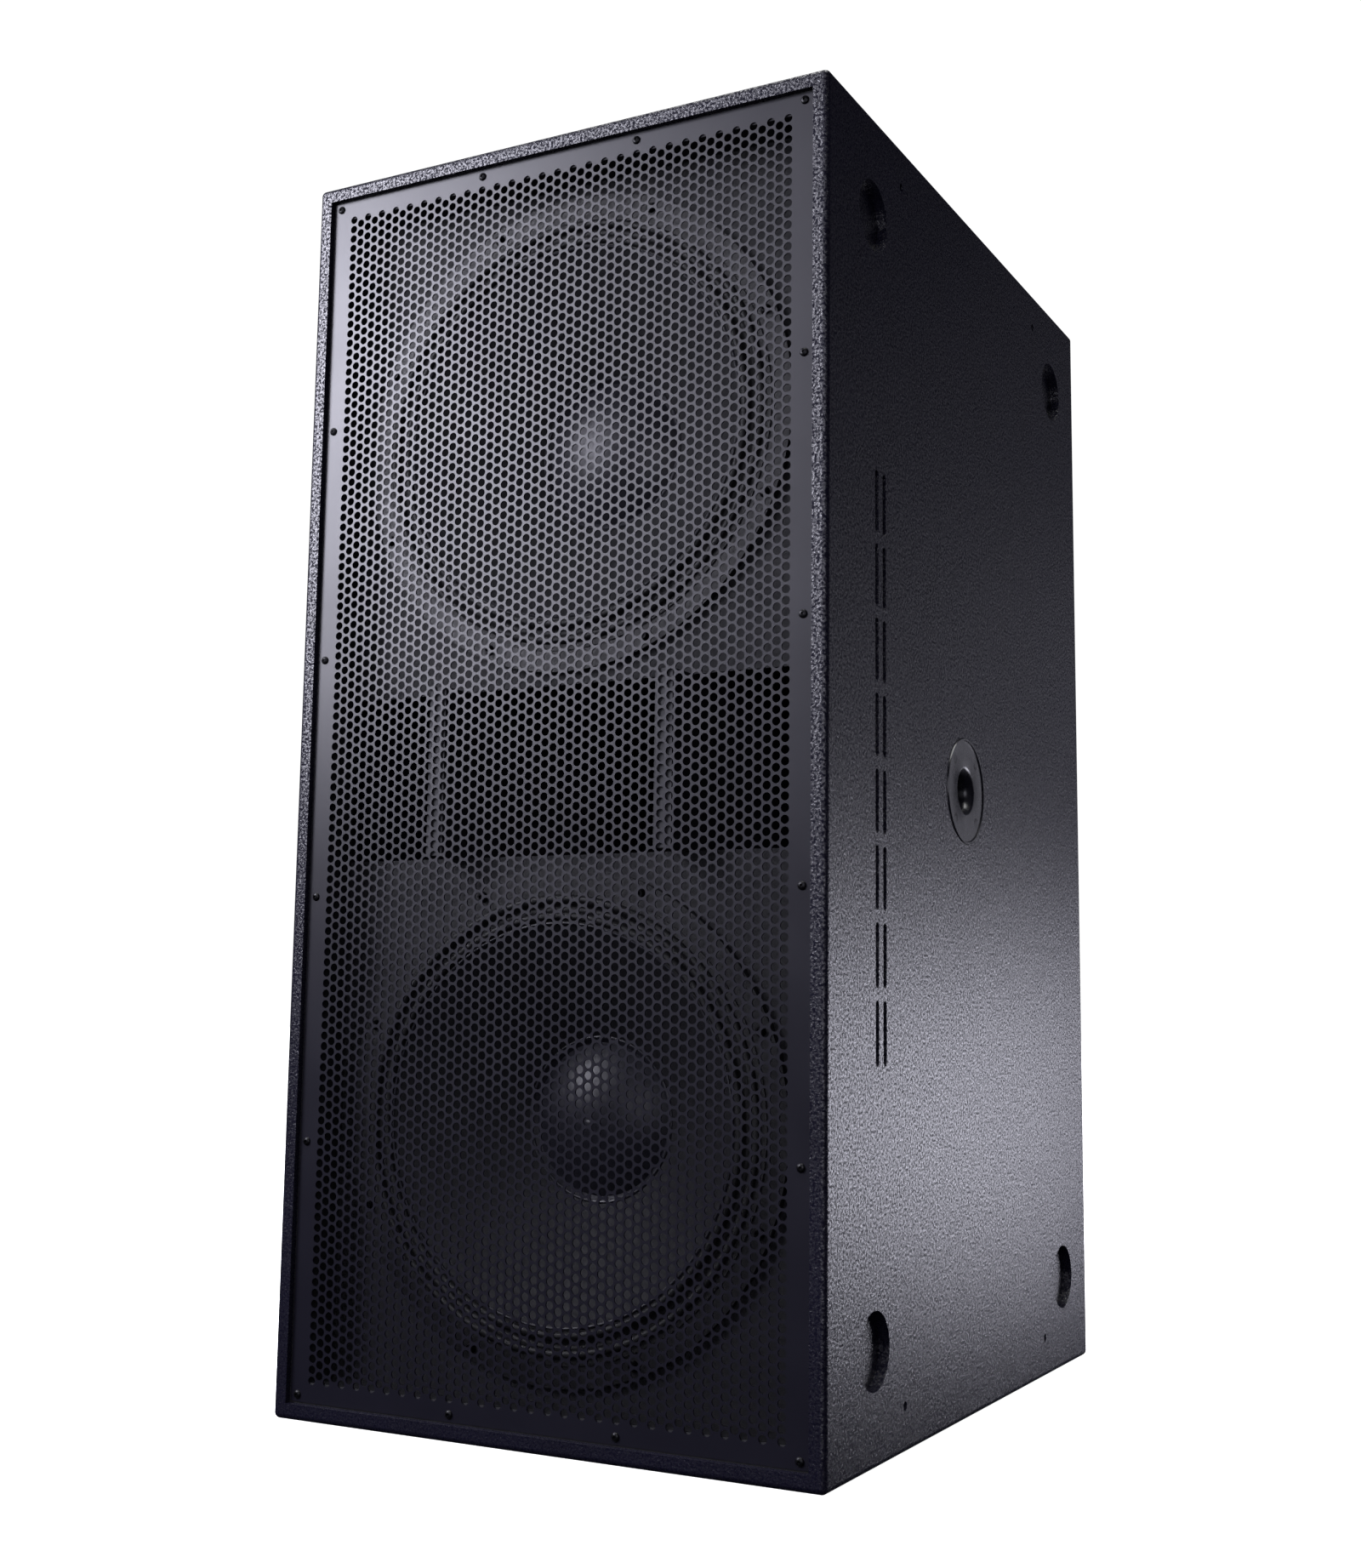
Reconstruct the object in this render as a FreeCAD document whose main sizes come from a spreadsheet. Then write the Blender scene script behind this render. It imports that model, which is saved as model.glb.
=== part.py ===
import FreeCAD, Part
import os
import re
import Sketcher
from FreeCAD import Placement, Rotation, Vector

# A tall bass cabinet with two 18 inch drivers, a vent between them and one perforated grille.
# X runs across the cabinet, Y from the grille to the back panel, Z up. The origin is the middle
# of the bottom face. Lengths are in millimetres.

drivingSizes = [
    ("cabinetWidth", 570, "outside, across the grille"),
    ("cabinetDepth", 750, "outside, grille to back panel"),
    ("cabinetHeight", 1220, "outside, end to end"),
    ("wallThick", 15, "plywood of the shell"),
    ("boardThick", 18, "plywood of baffles, shelves and braces"),
    ("arrisRadius", 5.5, "rounding of the shell's outer edges"),
    ("baffleSetback", 45, "front edge of the shell to the baffles"),
    ("battenWidth", 20, "grille batten, inward from the wall"),
    ("grilleSetback", 5, "front edge of the shell to the face of the grille"),
    ("grilleThick", 1.5, "steel sheet"),
    ("grilleGap", 2, "sheet edge to wall"),
    ("grilleCorner", 3, "corner radius of the sheet"),
    ("grilleScrewSide", 10, "screw line to side wall"),
    ("grilleScrewEnd", 8.5, "screw line to end wall"),
    ("grilleScrewLength", 20, "under the head"),
    ("grilleScrewRadius", 2, "M4 shank"),
    ("grilleScrewHead", 4, "button head"),
    ("driverOffset", 326, "driver axis above and below mid height"),
    ("ventHeight", 161.5, "opening between the port shelves"),
    ("ventLength", 250, "face of the baffles to the inner mouth of the vent"),
    ("dividerOffset", 123, "vent divider either side of the middle"),
    ("dividerSetback", 7, "front edge of the shell to the dividers"),
    ("braceGap", 100, "inner mouth of the vent to the brace"),
    ("braceRim", 60, "width of the brace's members"),
    ("frameRadius", 234, "outside of the driver's flange"),
    ("flangeThick", 8, "driver flange"),
    ("basketRadius", 211, "basket where it passes through the baffle"),
    ("basketWall", 7, "casting thickness, measured across the axis"),
    ("basketFloor", 8, "back plate of the basket"),
    ("armAngle", 15, "degrees that each of the eight arms takes"),
    ("cutoutGap", 2, "basket to the edge of its cut-out"),
    ("boltCircle", 224, "radius of the driver's bolt circle"),
    ("boltRadius", 3, "driver bolts, M6 shank"),
    ("boltHead", 5.2, "driver bolts"),
    ("coneRadius", 181, "outer edge of the cone"),
    ("coneSlope", 0.788, "axial fall for each millimetre towards the axis"),
    ("paperThick", 2.4, "cone body, along the axis"),
    ("surroundThick", 1.2, "treated cloth"),
    ("rollRadius", 4, "each roll of the surround"),
    ("lipRadius", 214, "outer edge of the surround"),
    ("capRadius", 77, "outer edge of the dust cap"),
    ("capRise", 25, "dome above its own lip"),
    ("capLip", 5, "width of the dust cap's lip"),
    ("capThick", 1.2, "dust cap shell"),
    ("coilRadius", 51, "outside of the coil former"),
    ("formerThick", 0.7, "coil former"),
    ("windingThick", 1.5, "voice coil wire"),
    ("windingLength", 26, "voice coil wire"),
    ("magnetGap", 1.2, "air on each side of the coil"),
    ("plateThick", 12, "front plate and yoke plate of the motor"),
    ("magnetThick", 50, "ferrite rings"),
    ("magnetRadius", 108, "ferrite rings"),
    ("yokeVent", 16, "hole through the pole"),
    ("spiderRadius", 122, "outer edge of the spider"),
    ("spiderThick", 1, "spider cloth"),
    ("spiderLip", 18, "width of the ledge that carries the spider"),
    ("spiderWave", 2.5, "height of the spider's corrugations"),
    ("spiderGap", 2, "neck of the cone to the spider's corrugations"),
    ("spiderRoom", 2, "edge of the spider to the wall of the basket"),
    ("coneTravel", 12, "each way from rest"),
    ("pocketRadius", 34, "stacking pocket"),
    ("pocketDepth", 10, "stacking pocket"),
    ("pocketEnd", 98, "pocket axis to the end of the cabinet"),
    ("pocketFront", 105, "front pocket axis to the front"),
    ("pocketBack", 92.5, "back pocket axis to the back"),
    ("footRadius", 31, "rubber foot at the cabinet"),
    ("footTip", 27, "rubber foot at its face"),
    ("footHeight", 15, "rubber foot"),
    ("footFloor", 5, "rubber under the screw's head"),
    ("footWell", 8, "radius of the well around the screw's head"),
    ("footScrewRadius", 3, "M6 shank"),
    ("insertEnd", 41, "threaded insert axis to the end"),
    ("insertFront", 176, "front insert axis to the front"),
    ("insertBack", 160, "back insert axis to the back"),
    ("insertBore", 4.25, "tapping radius"),
    ("insertRadius", 6.5, "insert barrel"),
    ("insertFlange", 8, "insert flange"),
    ("insertFlangeThick", 2, "insert flange"),
    ("poleFront", 348, "pole socket axis to the front"),
    ("poleFlange", 53.5, "flange radius"),
    ("poleFlangeThick", 3, "flange plate"),
    ("poleBore", 17.9, "radius for a 35 mm pole"),
    ("poleDepth", 110, "bore from the face to its floor"),
    ("poleWall", 3.4, "tube wall"),
    ("poleMouth", 23.5, "flared mouth radius"),
    ("poleFloor", 4, "closed end of the tube"),
    ("poleScrewCircle", 42, "radius of the screw circle"),
    ("poleScrewRadius", 2.5, "M5 shank"),
    ("poleScrewHead", 5.1, "countersunk head"),
    ("poleScrewLength", 17, "with its head"),
    ("grooveFront", 121, "middle of the decorative grooves to the front"),
    ("grooveSpacing", 18, "between the two grooves of a pair"),
    ("grooveWidth", 8, "groove"),
    ("grooveLength", 58, "groove, end to end"),
    ("groovePitch", 69, "pair to pair"),
    ("grooveCount", 8, "pairs"),
    ("grooveDepth", 3, "groove"),
    ("handleOffset", 170, "handle either side of the middle, along Y"),
    ("handleLong", 250, "handle plate along X"),
    ("handleShort", 150, "handle plate along Y"),
    ("handleRim", 22, "plate around the hollow"),
    ("handleDepth", 84, "hollow"),
    ("handleSheet", 2, "steel sheet"),
    ("handleSink", 2.4, "face of the plate below the face of the panel"),
    ("handleBarRadius", 13, "grip"),
    ("handleBarDrop", 20, "grip axis below the plate"),
    ("handleCoreRadius", 9, "tube inside the grip"),
    ("handleCoreShow", 14, "bare tube at each end of the grip"),
    ("handleScrewRadius", 2.5, "wood screw"),
    ("handleScrewHead", 4.6, "wood screw"),
    ("handleScrewRise", 1.8, "height of the head"),
    ("dishWidth", 190, "connector dish along X"),
    ("dishHeight", 130, "connector dish along Z"),
    ("dishRim", 16, "flange around the hollow"),
    ("dishDepth", 34, "hollow"),
    ("dishSheet", 1.6, "steel sheet"),
    ("socketSpacing", 70, "between the two connectors"),
    ("socketRadius", 12, "connector barrel"),
    ("socketPlate", 17, "half width of the connector's square flange"),
    ("socketLength", 26, "connector barrel behind its flange"),
    ("socketWall", 1.8, "connector barrel"),
    ("socketPost", 6, "contact post"),
    ("dishScrewRadius", 2, "M4 shank"),
    ("dishScrewHead", 3.8, "button head"),
    ("casterSide", 150, "caster axis either side of the middle"),
    ("casterEnd", 135, "caster axis to the end of the cabinet"),
    ("casterPlateLong", 105, "plate along X"),
    ("casterPlateWide", 85, "plate along Z"),
    ("casterPlateThick", 4, "plate"),
    ("casterBoltLong", 80, "bolt spacing along X"),
    ("casterBoltWide", 60, "bolt spacing along Z"),
    ("casterBoltRadius", 4, "M8 shank"),
    ("casterBoltHead", 7, "button head"),
    ("headRadius", 28, "swivel head"),
    ("headThick", 9, "swivel head"),
    ("swivelGap", 0.4, "fork clear of the head"),
    ("casterTrail", 36, "wheel axis behind the swivel axis"),
    ("wheelRadius", 50, "wheel"),
    ("wheelWidth", 32, "wheel"),
    ("wheelGap", 6, "tyre to the crown of the fork"),
    ("forkSheet", 3, "fork legs"),
    ("forkGap", 1.5, "hub to leg"),
    ("axleRadius", 5, "wheel axle"),
    ("axleNutRadius", 8, "nuts of the axle"),
    ("axleNutThick", 4, "nuts of the axle"),
    ("axlePlay", 0.05, "radial clearance of the axle and the kingpin"),
    ("kingpinRadius", 6, "kingpin"),
    ("webInset", 5, "wheel web below the rim's side"),
    ("pedalLength", 32, "brake pedal beyond its pin"),
    ("pedalPin", 2.5, "brake pedal pin"),
    ("pedalHub", 4.5, "brake pedal hub"),
    ("pedalThick", 3, "brake pedal"),
    ("screwPlay", 0.1, "radial clearance of screws in their holes"),
    ("seatGap", 0.5, "let-in plates clear of their cut-outs"),
]

doc = FreeCAD.newDocument("bass_cabinet")
sheet = doc.addObject("Spreadsheet::Sheet", "sizes")
for row, (alias, value, note) in enumerate(drivingSizes, start=1):
    sheet.set(f"A{row}", note)
    sheet.set(f"B{row}", str(value))
    sheet.setAlias(f"B{row}", alias)
doc.recompute()
aliases = {alias for alias, value, note in drivingSizes}
armCount = 8
pieces = []

# Derived positions, each a formula over the sheet's cells.
front = "-cabinetDepth / 2"
back = "cabinetDepth / 2"
side = "cabinetWidth / 2"
innerSide = "(cabinetWidth / 2 - wallThick)"
innerTop = "(cabinetHeight - wallThick)"
middle = "(cabinetHeight / 2)"
baffleFace = "(baffleSetback - cabinetDepth / 2)"
grilleBack = "(grilleSetback + grilleThick - cabinetDepth / 2)"
coneLift = "(flangeThick + surroundThick)"
coneNeck = f"(coneSlope * (coneRadius - coilRadius) - {coneLift})"
spiderDepth = f"({coneNeck} + paperThick + spiderGap + spiderWave + spiderThick)"
basketDepth = f"({spiderDepth} + coneTravel + 2 * spiderWave + 7)"
motorFace = f"({basketDepth} + basketFloor)"
basketInner = "(basketRadius - basketWall)"
basketTaper = f"({basketInner} - spiderRadius - spiderRoom)"
basketFoot = f"({basketInner} - {basketTaper} * {basketDepth} / {spiderDepth})"
casterFace = "(cabinetDepth / 2)"
headFace = "(cabinetDepth / 2 + casterPlateThick + headThick)"
crownFace = f"({headFace} + swivelGap)"
axleY = f"({crownFace} + forkSheet + wheelGap + wheelRadius)"
pedalPinY = f"({axleY} - wheelRadius * 0.84)"
driverHeights = {"upper": f"({middle} + driverOffset)", "lower": f"({middle} - driverOffset)"}
turns = {"x": Rotation(Vector(0, 1, 0), 90), "y": Rotation(Vector(1, 0, 0), -90), "z": Rotation()}


def formula(text):
    """A formula over cell names, as an expression that any object can hold."""
    return re.sub(r"[A-Za-z]\w*", lambda m: "sizes." + m[0] if m[0] in aliases else m[0], str(text))


def number(text):
    return float(sheet.evalExpression(formula(text)))


def polar(radius, angle):
    return f"({radius} * cos({angle}))", f"({radius} * sin({angle}))"


def moveTo(item, x, y, z):
    for axis, value in zip("xyz", (x, y, z)):
        item.setExpression(f"Placement.Base.{axis}", formula(value))
    return item


def box(low, size):
    item = doc.addObject("Part::Box", "block")
    for name, value in zip(("Length", "Width", "Height"), size):
        item.setExpression(name, formula(value))
    return moveTo(item, *low)


def rod(axis, start, length, radius):
    item = doc.addObject("Part::Cylinder", "rod")
    item.Placement = Placement(Vector(), turns[axis])
    item.setExpression("Height", formula(length))
    item.setExpression("Radius", formula(radius))
    return moveTo(item, *start)


def cone(axis, start, length, startRadius, endRadius):
    item = doc.addObject("Part::Cone", "taper")
    item.Placement = Placement(Vector(), turns[axis])
    item.setExpression("Height", formula(length))
    item.setExpression("Radius1", formula(startRadius))
    item.setExpression("Radius2", formula(endRadius))
    return moveTo(item, *start)


def hexagon(axis, start, length, radius):
    item = doc.addObject("Part::Prism", "hexagon")
    item.Placement = Placement(Vector(), turns[axis])
    item.setExpression("Height", formula(length))
    item.setExpression("Circumradius", formula(radius))
    return moveTo(item, *start)


def together(items):
    if len(items) == 1:
        return items[0]
    item = doc.addObject("Part::Compound", "set")
    item.Links = items
    return item


def fuse(items):
    item = doc.addObject("Part::MultiFuse", "joined")
    item.Shapes = items
    return item


def cut(base, tools):
    item = doc.addObject("Part::Cut", "cut")
    item.Base = base
    item.Tool = together(tools)
    return item


def finish(item, label):
    item.Label = label
    pieces.append(item)
    return item


def originPlane(body, role):
    return [feature for feature in body.Origin.OriginFeatures if feature.Role == role][0]


def sketchOn(body, role, offset="0"):
    sketch = body.newObject("Sketcher::SketchObject", "profile")
    sketch.AttachmentSupport = [(originPlane(body, role), "")]
    sketch.MapMode = "FlatFace"
    sketch.setExpression("AttachmentOffset.Base.z", formula(offset))
    return sketch


def pin(sketch, geometry, point, x, y):
    for kind, value in (("DistanceX", x), ("DistanceY", y)):
        index = sketch.addConstraint(Sketcher.Constraint(kind, -1, 1, geometry, point, number(value)))
        sketch.setExpression(f"Constraints[{index}]", formula(value))


def circle(sketch, x, y, radius):
    shape = Part.Circle(Vector(number(x), number(y), 0), Vector(0, 0, 1), number(radius))
    geometry = sketch.addGeometry(shape, False)
    pin(sketch, geometry, 3, x, y)
    index = sketch.addConstraint(Sketcher.Constraint("Radius", geometry, number(radius)))
    sketch.setExpression(f"Constraints[{index}]", formula(radius))


def outline(sketch, points):
    """A closed outline. A point with four values starts an arc through its last two."""
    corners = [Vector(number(point[0]), number(point[1]), 0) for point in points]
    starts, ends, edges = [], [], []
    for index, point in enumerate(points):
        start, end = corners[index], corners[(index + 1) % len(points)]
        if len(point) == 2:
            edges.append(sketch.addGeometry(Part.LineSegment(start, end), False))
            starts.append(1)
            ends.append(2)
            continue
        through = Vector(number(point[2]), number(point[3]), 0)
        forward = (through - start).cross(end - through).z > 0
        arc = Part.ArcOfCircle(start, through, end) if forward else Part.ArcOfCircle(end, through, start)
        edges.append(sketch.addGeometry(arc, False))
        starts.append(1 if forward else 2)
        ends.append(2 if forward else 1)
    for index, edge in enumerate(edges):
        following = (index + 1) % len(edges)
        sketch.addConstraint(
            Sketcher.Constraint("Coincident", edge, ends[index], edges[following], starts[following])
        )
    for index, point in enumerate(points):
        pin(sketch, edges[index], starts[index], point[0], point[1])
        if len(point) == 4:
            mark = sketch.addGeometry(Part.Point(Vector(number(point[2]), number(point[3]), 0)), True)
            pin(sketch, mark, 1, point[2], point[3])
            sketch.addConstraint(Sketcher.Constraint("PointOnObject", mark, 1, edges[index]))


def rectangle(sketch, low, high):
    outline(sketch, [(low[0], low[1]), (high[0], low[1]), (high[0], high[1]), (low[0], high[1])])


def newBody(name):
    return doc.addObject("PartDesign::Body", name)


def pad(body, sketch, length, symmetric=False):
    feature = body.newObject("PartDesign::Pad", "pad")
    feature.Profile = sketch
    feature.SideType = "Symmetric" if symmetric else "One side"
    feature.setExpression("Length", formula(length))
    return feature


def pocket(body, sketch, depth):
    feature = body.newObject("PartDesign::Pocket", "pocket")
    feature.Profile = sketch
    feature.setExpression("Length", formula(depth))
    return feature


def revolved(name, points, axis="V_Axis"):
    """A body turned about its own Y axis (V_Axis) or X axis (H_Axis)."""
    body = newBody(name)
    sketch = sketchOn(body, "XY_Plane")
    outline(sketch, points)
    feature = body.newObject("PartDesign::Revolution", "turned")
    feature.Profile = sketch
    feature.ReferenceAxis = (sketch, [axis])
    feature.Angle = 360
    return body


def roundEdges(body, feature, radius, chosen):
    """Rounds the edges of a feature whose bounding box satisfies the test."""
    doc.recompute()
    names = [
        f"Edge{index}"
        for index, edge in enumerate(feature.Shape.Edges, start=1)
        if chosen(edge.BoundBox)
    ]
    fillet = body.newObject("PartDesign::Fillet", "rounding")
    fillet.Base = (feature, names)
    fillet.setExpression("Radius", formula(radius))
    return fillet


def near(value, text):
    return abs(value - number(text)) < 0.001


# --- places that several pieces share -------------------------------------------------------

def cornerPlaces(frontInset, backInset, endInset):
    rows = [f"({front} + {frontInset})", f"({back} - {backInset})"]
    return [(y, z) for y in rows for z in (endInset, f"(cabinetHeight - {endInset})")]


pocketPlaces = cornerPlaces("pocketFront", "pocketBack", "pocketEnd")
insertPlaces = cornerPlaces("insertFront", "insertBack", "insertEnd")
poleY = f"({front} + poleFront)"


def grillePlaces():
    """Screw positions on the grille: four across each end, six up each side."""
    across = f"({innerSide} - grilleScrewSide)"
    low = "(wallThick + grilleScrewEnd)"
    rise = f"(cabinetHeight - 2 * {low})"
    places = [(f"({across} * {k} / 3)", f"({low} + {rise} * {end})") for end in (0, 1) for k in (-1, 1)]
    for step in range(6):
        places += [(f"({across} * {k})", f"({low} + {rise} * {step} / 5)") for k in (-1, 1)]
    return places


def ringPlaces(radius, count, startAngle):
    """Offsets (x, z) evenly spaced on a circle."""
    return [polar(radius, startAngle + 360 / count * k) for k in range(count)]


def screw(axis, place, direction, shank, length, head, rise):
    """A button-headed screw with a hexagon socket. The underside of its head is at place."""
    along = "xyz".index(axis)
    top, key = f"0.65 * ({head})", f"0.42 * ({head})"

    def shifted(distance):
        return [f"({value} + {distance})" if n == along else value for n, value in enumerate(place)]

    if direction > 0:
        stem = rod(axis, shifted("0"), length, shank)
        cap = cone(axis, shifted(f"(-({rise}))"), rise, top, head)
        socket = hexagon(axis, shifted(f"(-1.4 * ({rise}))"), rise, key)
    else:
        stem = rod(axis, shifted(f"(-({length}))"), length, shank)
        cap = cone(axis, shifted("0"), rise, head, top)
        socket = hexagon(axis, shifted(f"(0.4 * ({rise}))"), rise, key)
    return cut(fuse([stem, cap]), [socket])


# --- the shell ------------------------------------------------------------------------------

def sidePanel(label, facing):
    """A side panel on the +X or -X side, its outer arrises and corners rounded."""
    body = newBody(f"{label}_board")
    offset = innerSide if facing > 0 else f"(-({side}))"
    sketch = sketchOn(body, "YZ_Plane", offset)
    rectangle(sketch, (front, "0"), (back, "cabinetHeight"))
    slab = pad(body, sketch, "wallThick")
    outer = f"{facing} * {side}"
    roundEdges(body, slab, "arrisRadius",
               lambda reach: near(reach.Center.x, outer) or near(reach.XLength, "wallThick"))
    return body


def makeRightPanel():
    body = sidePanel("panel_right", 1)
    pockets = sketchOn(body, "YZ_Plane", side)
    for y, z in pocketPlaces:
        circle(pockets, y, z, "pocketRadius")
    pocket(body, pockets, "pocketDepth")
    seat = sketchOn(body, "YZ_Plane", side)
    circle(seat, poleY, middle, "poleFlange + seatGap")
    pocket(body, seat, "poleFlangeThick")
    through = sketchOn(body, "YZ_Plane", side)
    circle(through, poleY, middle, "poleBore + poleWall + seatGap")
    for y, z in ringPlaces("poleScrewCircle", 4, 45):
        circle(through, f"{poleY} + {y}", f"{middle} + {z}", "poleScrewRadius + screwPlay")
    for y, z in insertPlaces:
        circle(through, y, z, "insertRadius")
    pocket(body, through, "wallThick")
    flanges = sketchOn(body, "YZ_Plane", side)
    for y, z in insertPlaces:
        circle(flanges, y, z, "insertFlange")
    pocket(body, flanges, "insertFlangeThick")
    grooves = sketchOn(body, "YZ_Plane", side)
    half = "(grooveWidth / 2)"
    straight = "(grooveLength / 2 - grooveWidth / 2)"
    start = f"({middle} - (grooveCount - 1) * groovePitch / 2)"
    for offset in (-1, 1):
        y = f"({front} + grooveFront + {offset} * grooveSpacing / 2)"
        outline(grooves, [
            (f"{y} - {half}", f"{start} - {straight}", y, f"{start} - grooveLength / 2"),
            (f"{y} + {half}", f"{start} - {straight}"),
            (f"{y} + {half}", f"{start} + {straight}", y, f"{start} + grooveLength / 2"),
            (f"{y} - {half}", f"{start} + {straight}"),
        ])
    pair = pocket(body, grooves, "grooveDepth")
    column = body.newObject("PartDesign::LinearPattern", "column")
    column.Originals = [pair]
    column.Direction = (grooves, ["V_Axis"])
    column.setExpression("Length", formula("(grooveCount - 1) * groovePitch"))
    column.Occurrences = round(number("grooveCount"))
    body.Tip = column
    finish(body, "panel_right")


def makeLeftPanel():
    body = sidePanel("panel_left", -1)
    holes = [rod("x", (f"-{side} - 1", y, z), "wallThick + 2", "footScrewRadius + screwPlay")
             for y, z in pocketPlaces]
    finish(cut(body, holes), "panel_left")


def endPanel(label, top):
    """A panel across one end, between the sides, with rebates and cut-outs for two handles."""
    body = newBody(f"{label}_board")
    sketch = sketchOn(body, "XY_Plane", innerTop if top else "0")
    rectangle(sketch, (f"-{innerSide}", front), (innerSide, back))
    slab = pad(body, sketch, "wallThick")
    outer = "cabinetHeight" if top else "0"
    roundEdges(body, slab, "arrisRadius",
               lambda reach: near(reach.Center.z, outer) and near(abs(reach.Center.y), back))
    rebate = "handleSheet + handleSink"
    start = f"{innerTop} - 1" if top else "-1"
    openings = []
    for y in handleRows():
        wide, deep = "(handleLong + 2 * seatGap)", "(handleShort + 2 * seatGap)"
        seat = box((f"-{wide} / 2", f"{y} - {deep} / 2", f"cabinetHeight - ({rebate})" if top else "0"),
                   (wide, deep, rebate))
        hollow = box((f"handleRim - {wide} / 2", f"{y} + handleRim - {deep} / 2", start),
                     (f"{wide} - 2 * handleRim", f"{deep} - 2 * handleRim", "wallThick + 2"))
        holes = [rod("z", (x, screwY, start), "wallThick + 2", "handleScrewRadius + screwPlay")
                 for x, screwY in handleScrewPlaces(y)]
        openings.append(fuse([seat, hollow] + holes))
    finish(cut(body, openings), label)


def handleRows():
    return ["(-handleOffset)", "handleOffset"]


def handleScrewPlaces(y):
    return [(f"({kx} * (handleLong - handleRim) / 2)", f"({y} + {ky} * (handleShort - handleRim) / 2)")
            for kx in (-1, 1) for ky in (-1, 1)]


def casterPlaces():
    heights = ("casterEnd", "(cabinetHeight - casterEnd)")
    return [(f"({kx} * casterSide)", z) for z in heights for kx in (-1, 1)]


def casterBoltPlaces():
    return [(f"({x} + {kx} * casterBoltLong / 2)", f"({z} + {kz} * casterBoltWide / 2)")
            for x, z in casterPlaces() for kx in (-1, 1) for kz in (-1, 1)]


def dishScrewPlaces():
    return [(f"({kx} * (dishWidth - dishRim) / 2)", f"({middle} + {kz} * (dishHeight - dishRim) / 2)")
            for kx in (-1, 1) for kz in (-1, 1)]


def makeBackPanel():
    slab = box((f"-{innerSide}", f"{back} - wallThick", "wallThick"),
               (f"2 * {innerSide}", "wallThick", "cabinetHeight - 2 * wallThick"))
    start = f"{back} - wallThick - 1"
    holes = [rod("y", (x, start, z), "wallThick + 2", "casterBoltRadius + screwPlay")
             for x, z in casterBoltPlaces()]
    holes += [rod("y", (x, start, z), "wallThick + 2", "dishScrewRadius + screwPlay")
              for x, z in dishScrewPlaces()]
    wide, tall = "(dishWidth - 2 * dishRim + 2 * seatGap)", "(dishHeight - 2 * dishRim + 2 * seatGap)"
    holes.append(box((f"-{wide} / 2", start, f"{middle} - {tall} / 2"), (wide, "wallThick + 2", tall)))
    finish(cut(slab, holes), "panel_back")


# --- inside the shell -----------------------------------------------------------------------

def makeBaffle(label, height, low, rise):
    slab = box((f"-{innerSide}", baffleFace, low), (f"2 * {innerSide}", "boardThick", rise))
    start = f"{baffleFace} - 1"
    holes = [rod("y", ("0", start, height), "boardThick + 2", "basketRadius + cutoutGap")]
    holes += [rod("y", (x, start, f"{height} + {z}"), "boardThick + 2", "boltRadius + screwPlay")
              for x, z in ringPlaces("boltCircle", armCount, 180 / armCount)]
    finish(cut(slab, holes), label)


def makeShelf(label, low):
    slab = box((f"-{innerSide}", f"{baffleFace} + boardThick", low),
               (f"2 * {innerSide}", "ventLength - boardThick", "boardThick"))
    finish(slab, label)


def makeDivider(label, facing):
    """A vertical board that splits the vent; its front edge stands just behind the grille."""
    start = f"({front} + dividerSetback)"
    board = box((f"{facing} * dividerOffset - boardThick / 2", start, f"{middle} - ventHeight / 2"),
                ("boardThick", f"{baffleFace} + ventLength - {start}", "ventHeight"))
    finish(board, label)


def makeBrace():
    """A window frame across the whole cabinet behind the drivers, two windows wide, three high."""
    start = f"({baffleFace} + ventLength + braceGap)"
    slab = box((f"-{innerSide}", start, "wallThick"),
               (f"2 * {innerSide}", "boardThick", "cabinetHeight - 2 * wallThick"))
    wide = f"(({innerSide} * 2 - 3 * braceRim) / 2)"
    tall = "((cabinetHeight - 2 * wallThick - 4 * braceRim) / 3)"
    windows = [
        box((f"-{innerSide} + braceRim + {column} * ({wide} + braceRim)", f"{start} - 1",
             f"wallThick + braceRim + {row} * ({tall} + braceRim)"), (wide, "boardThick + 2", tall))
        for column in range(2) for row in range(3)
    ]
    finish(cut(slab, windows), "window_brace")


def makeBattens():
    """Four strips around the recess that carry the edge of the grille."""
    deep = f"{baffleFace} - {grilleBack}"
    tall = "cabinetHeight - 2 * wallThick"
    strips = [box((low, grilleBack, "wallThick"), ("battenWidth", deep, tall))
              for low in (f"-{innerSide}", f"{innerSide} - battenWidth")]
    strips += [box((f"-{innerSide} + battenWidth", grilleBack, low),
                   (f"2 * {innerSide} - 2 * battenWidth", deep, "battenWidth"))
               for low in ("wallThick", f"{innerTop} - battenWidth")]
    holes = [rod("y", (x, f"{grilleBack} - 1", z), "grilleScrewLength + 1",
                 "grilleScrewRadius + screwPlay")
             for x, z in grillePlaces()]
    finish(together([cut(strip, holes) for strip in strips]), "grille_battens")


# --- the grille -----------------------------------------------------------------------------

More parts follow.
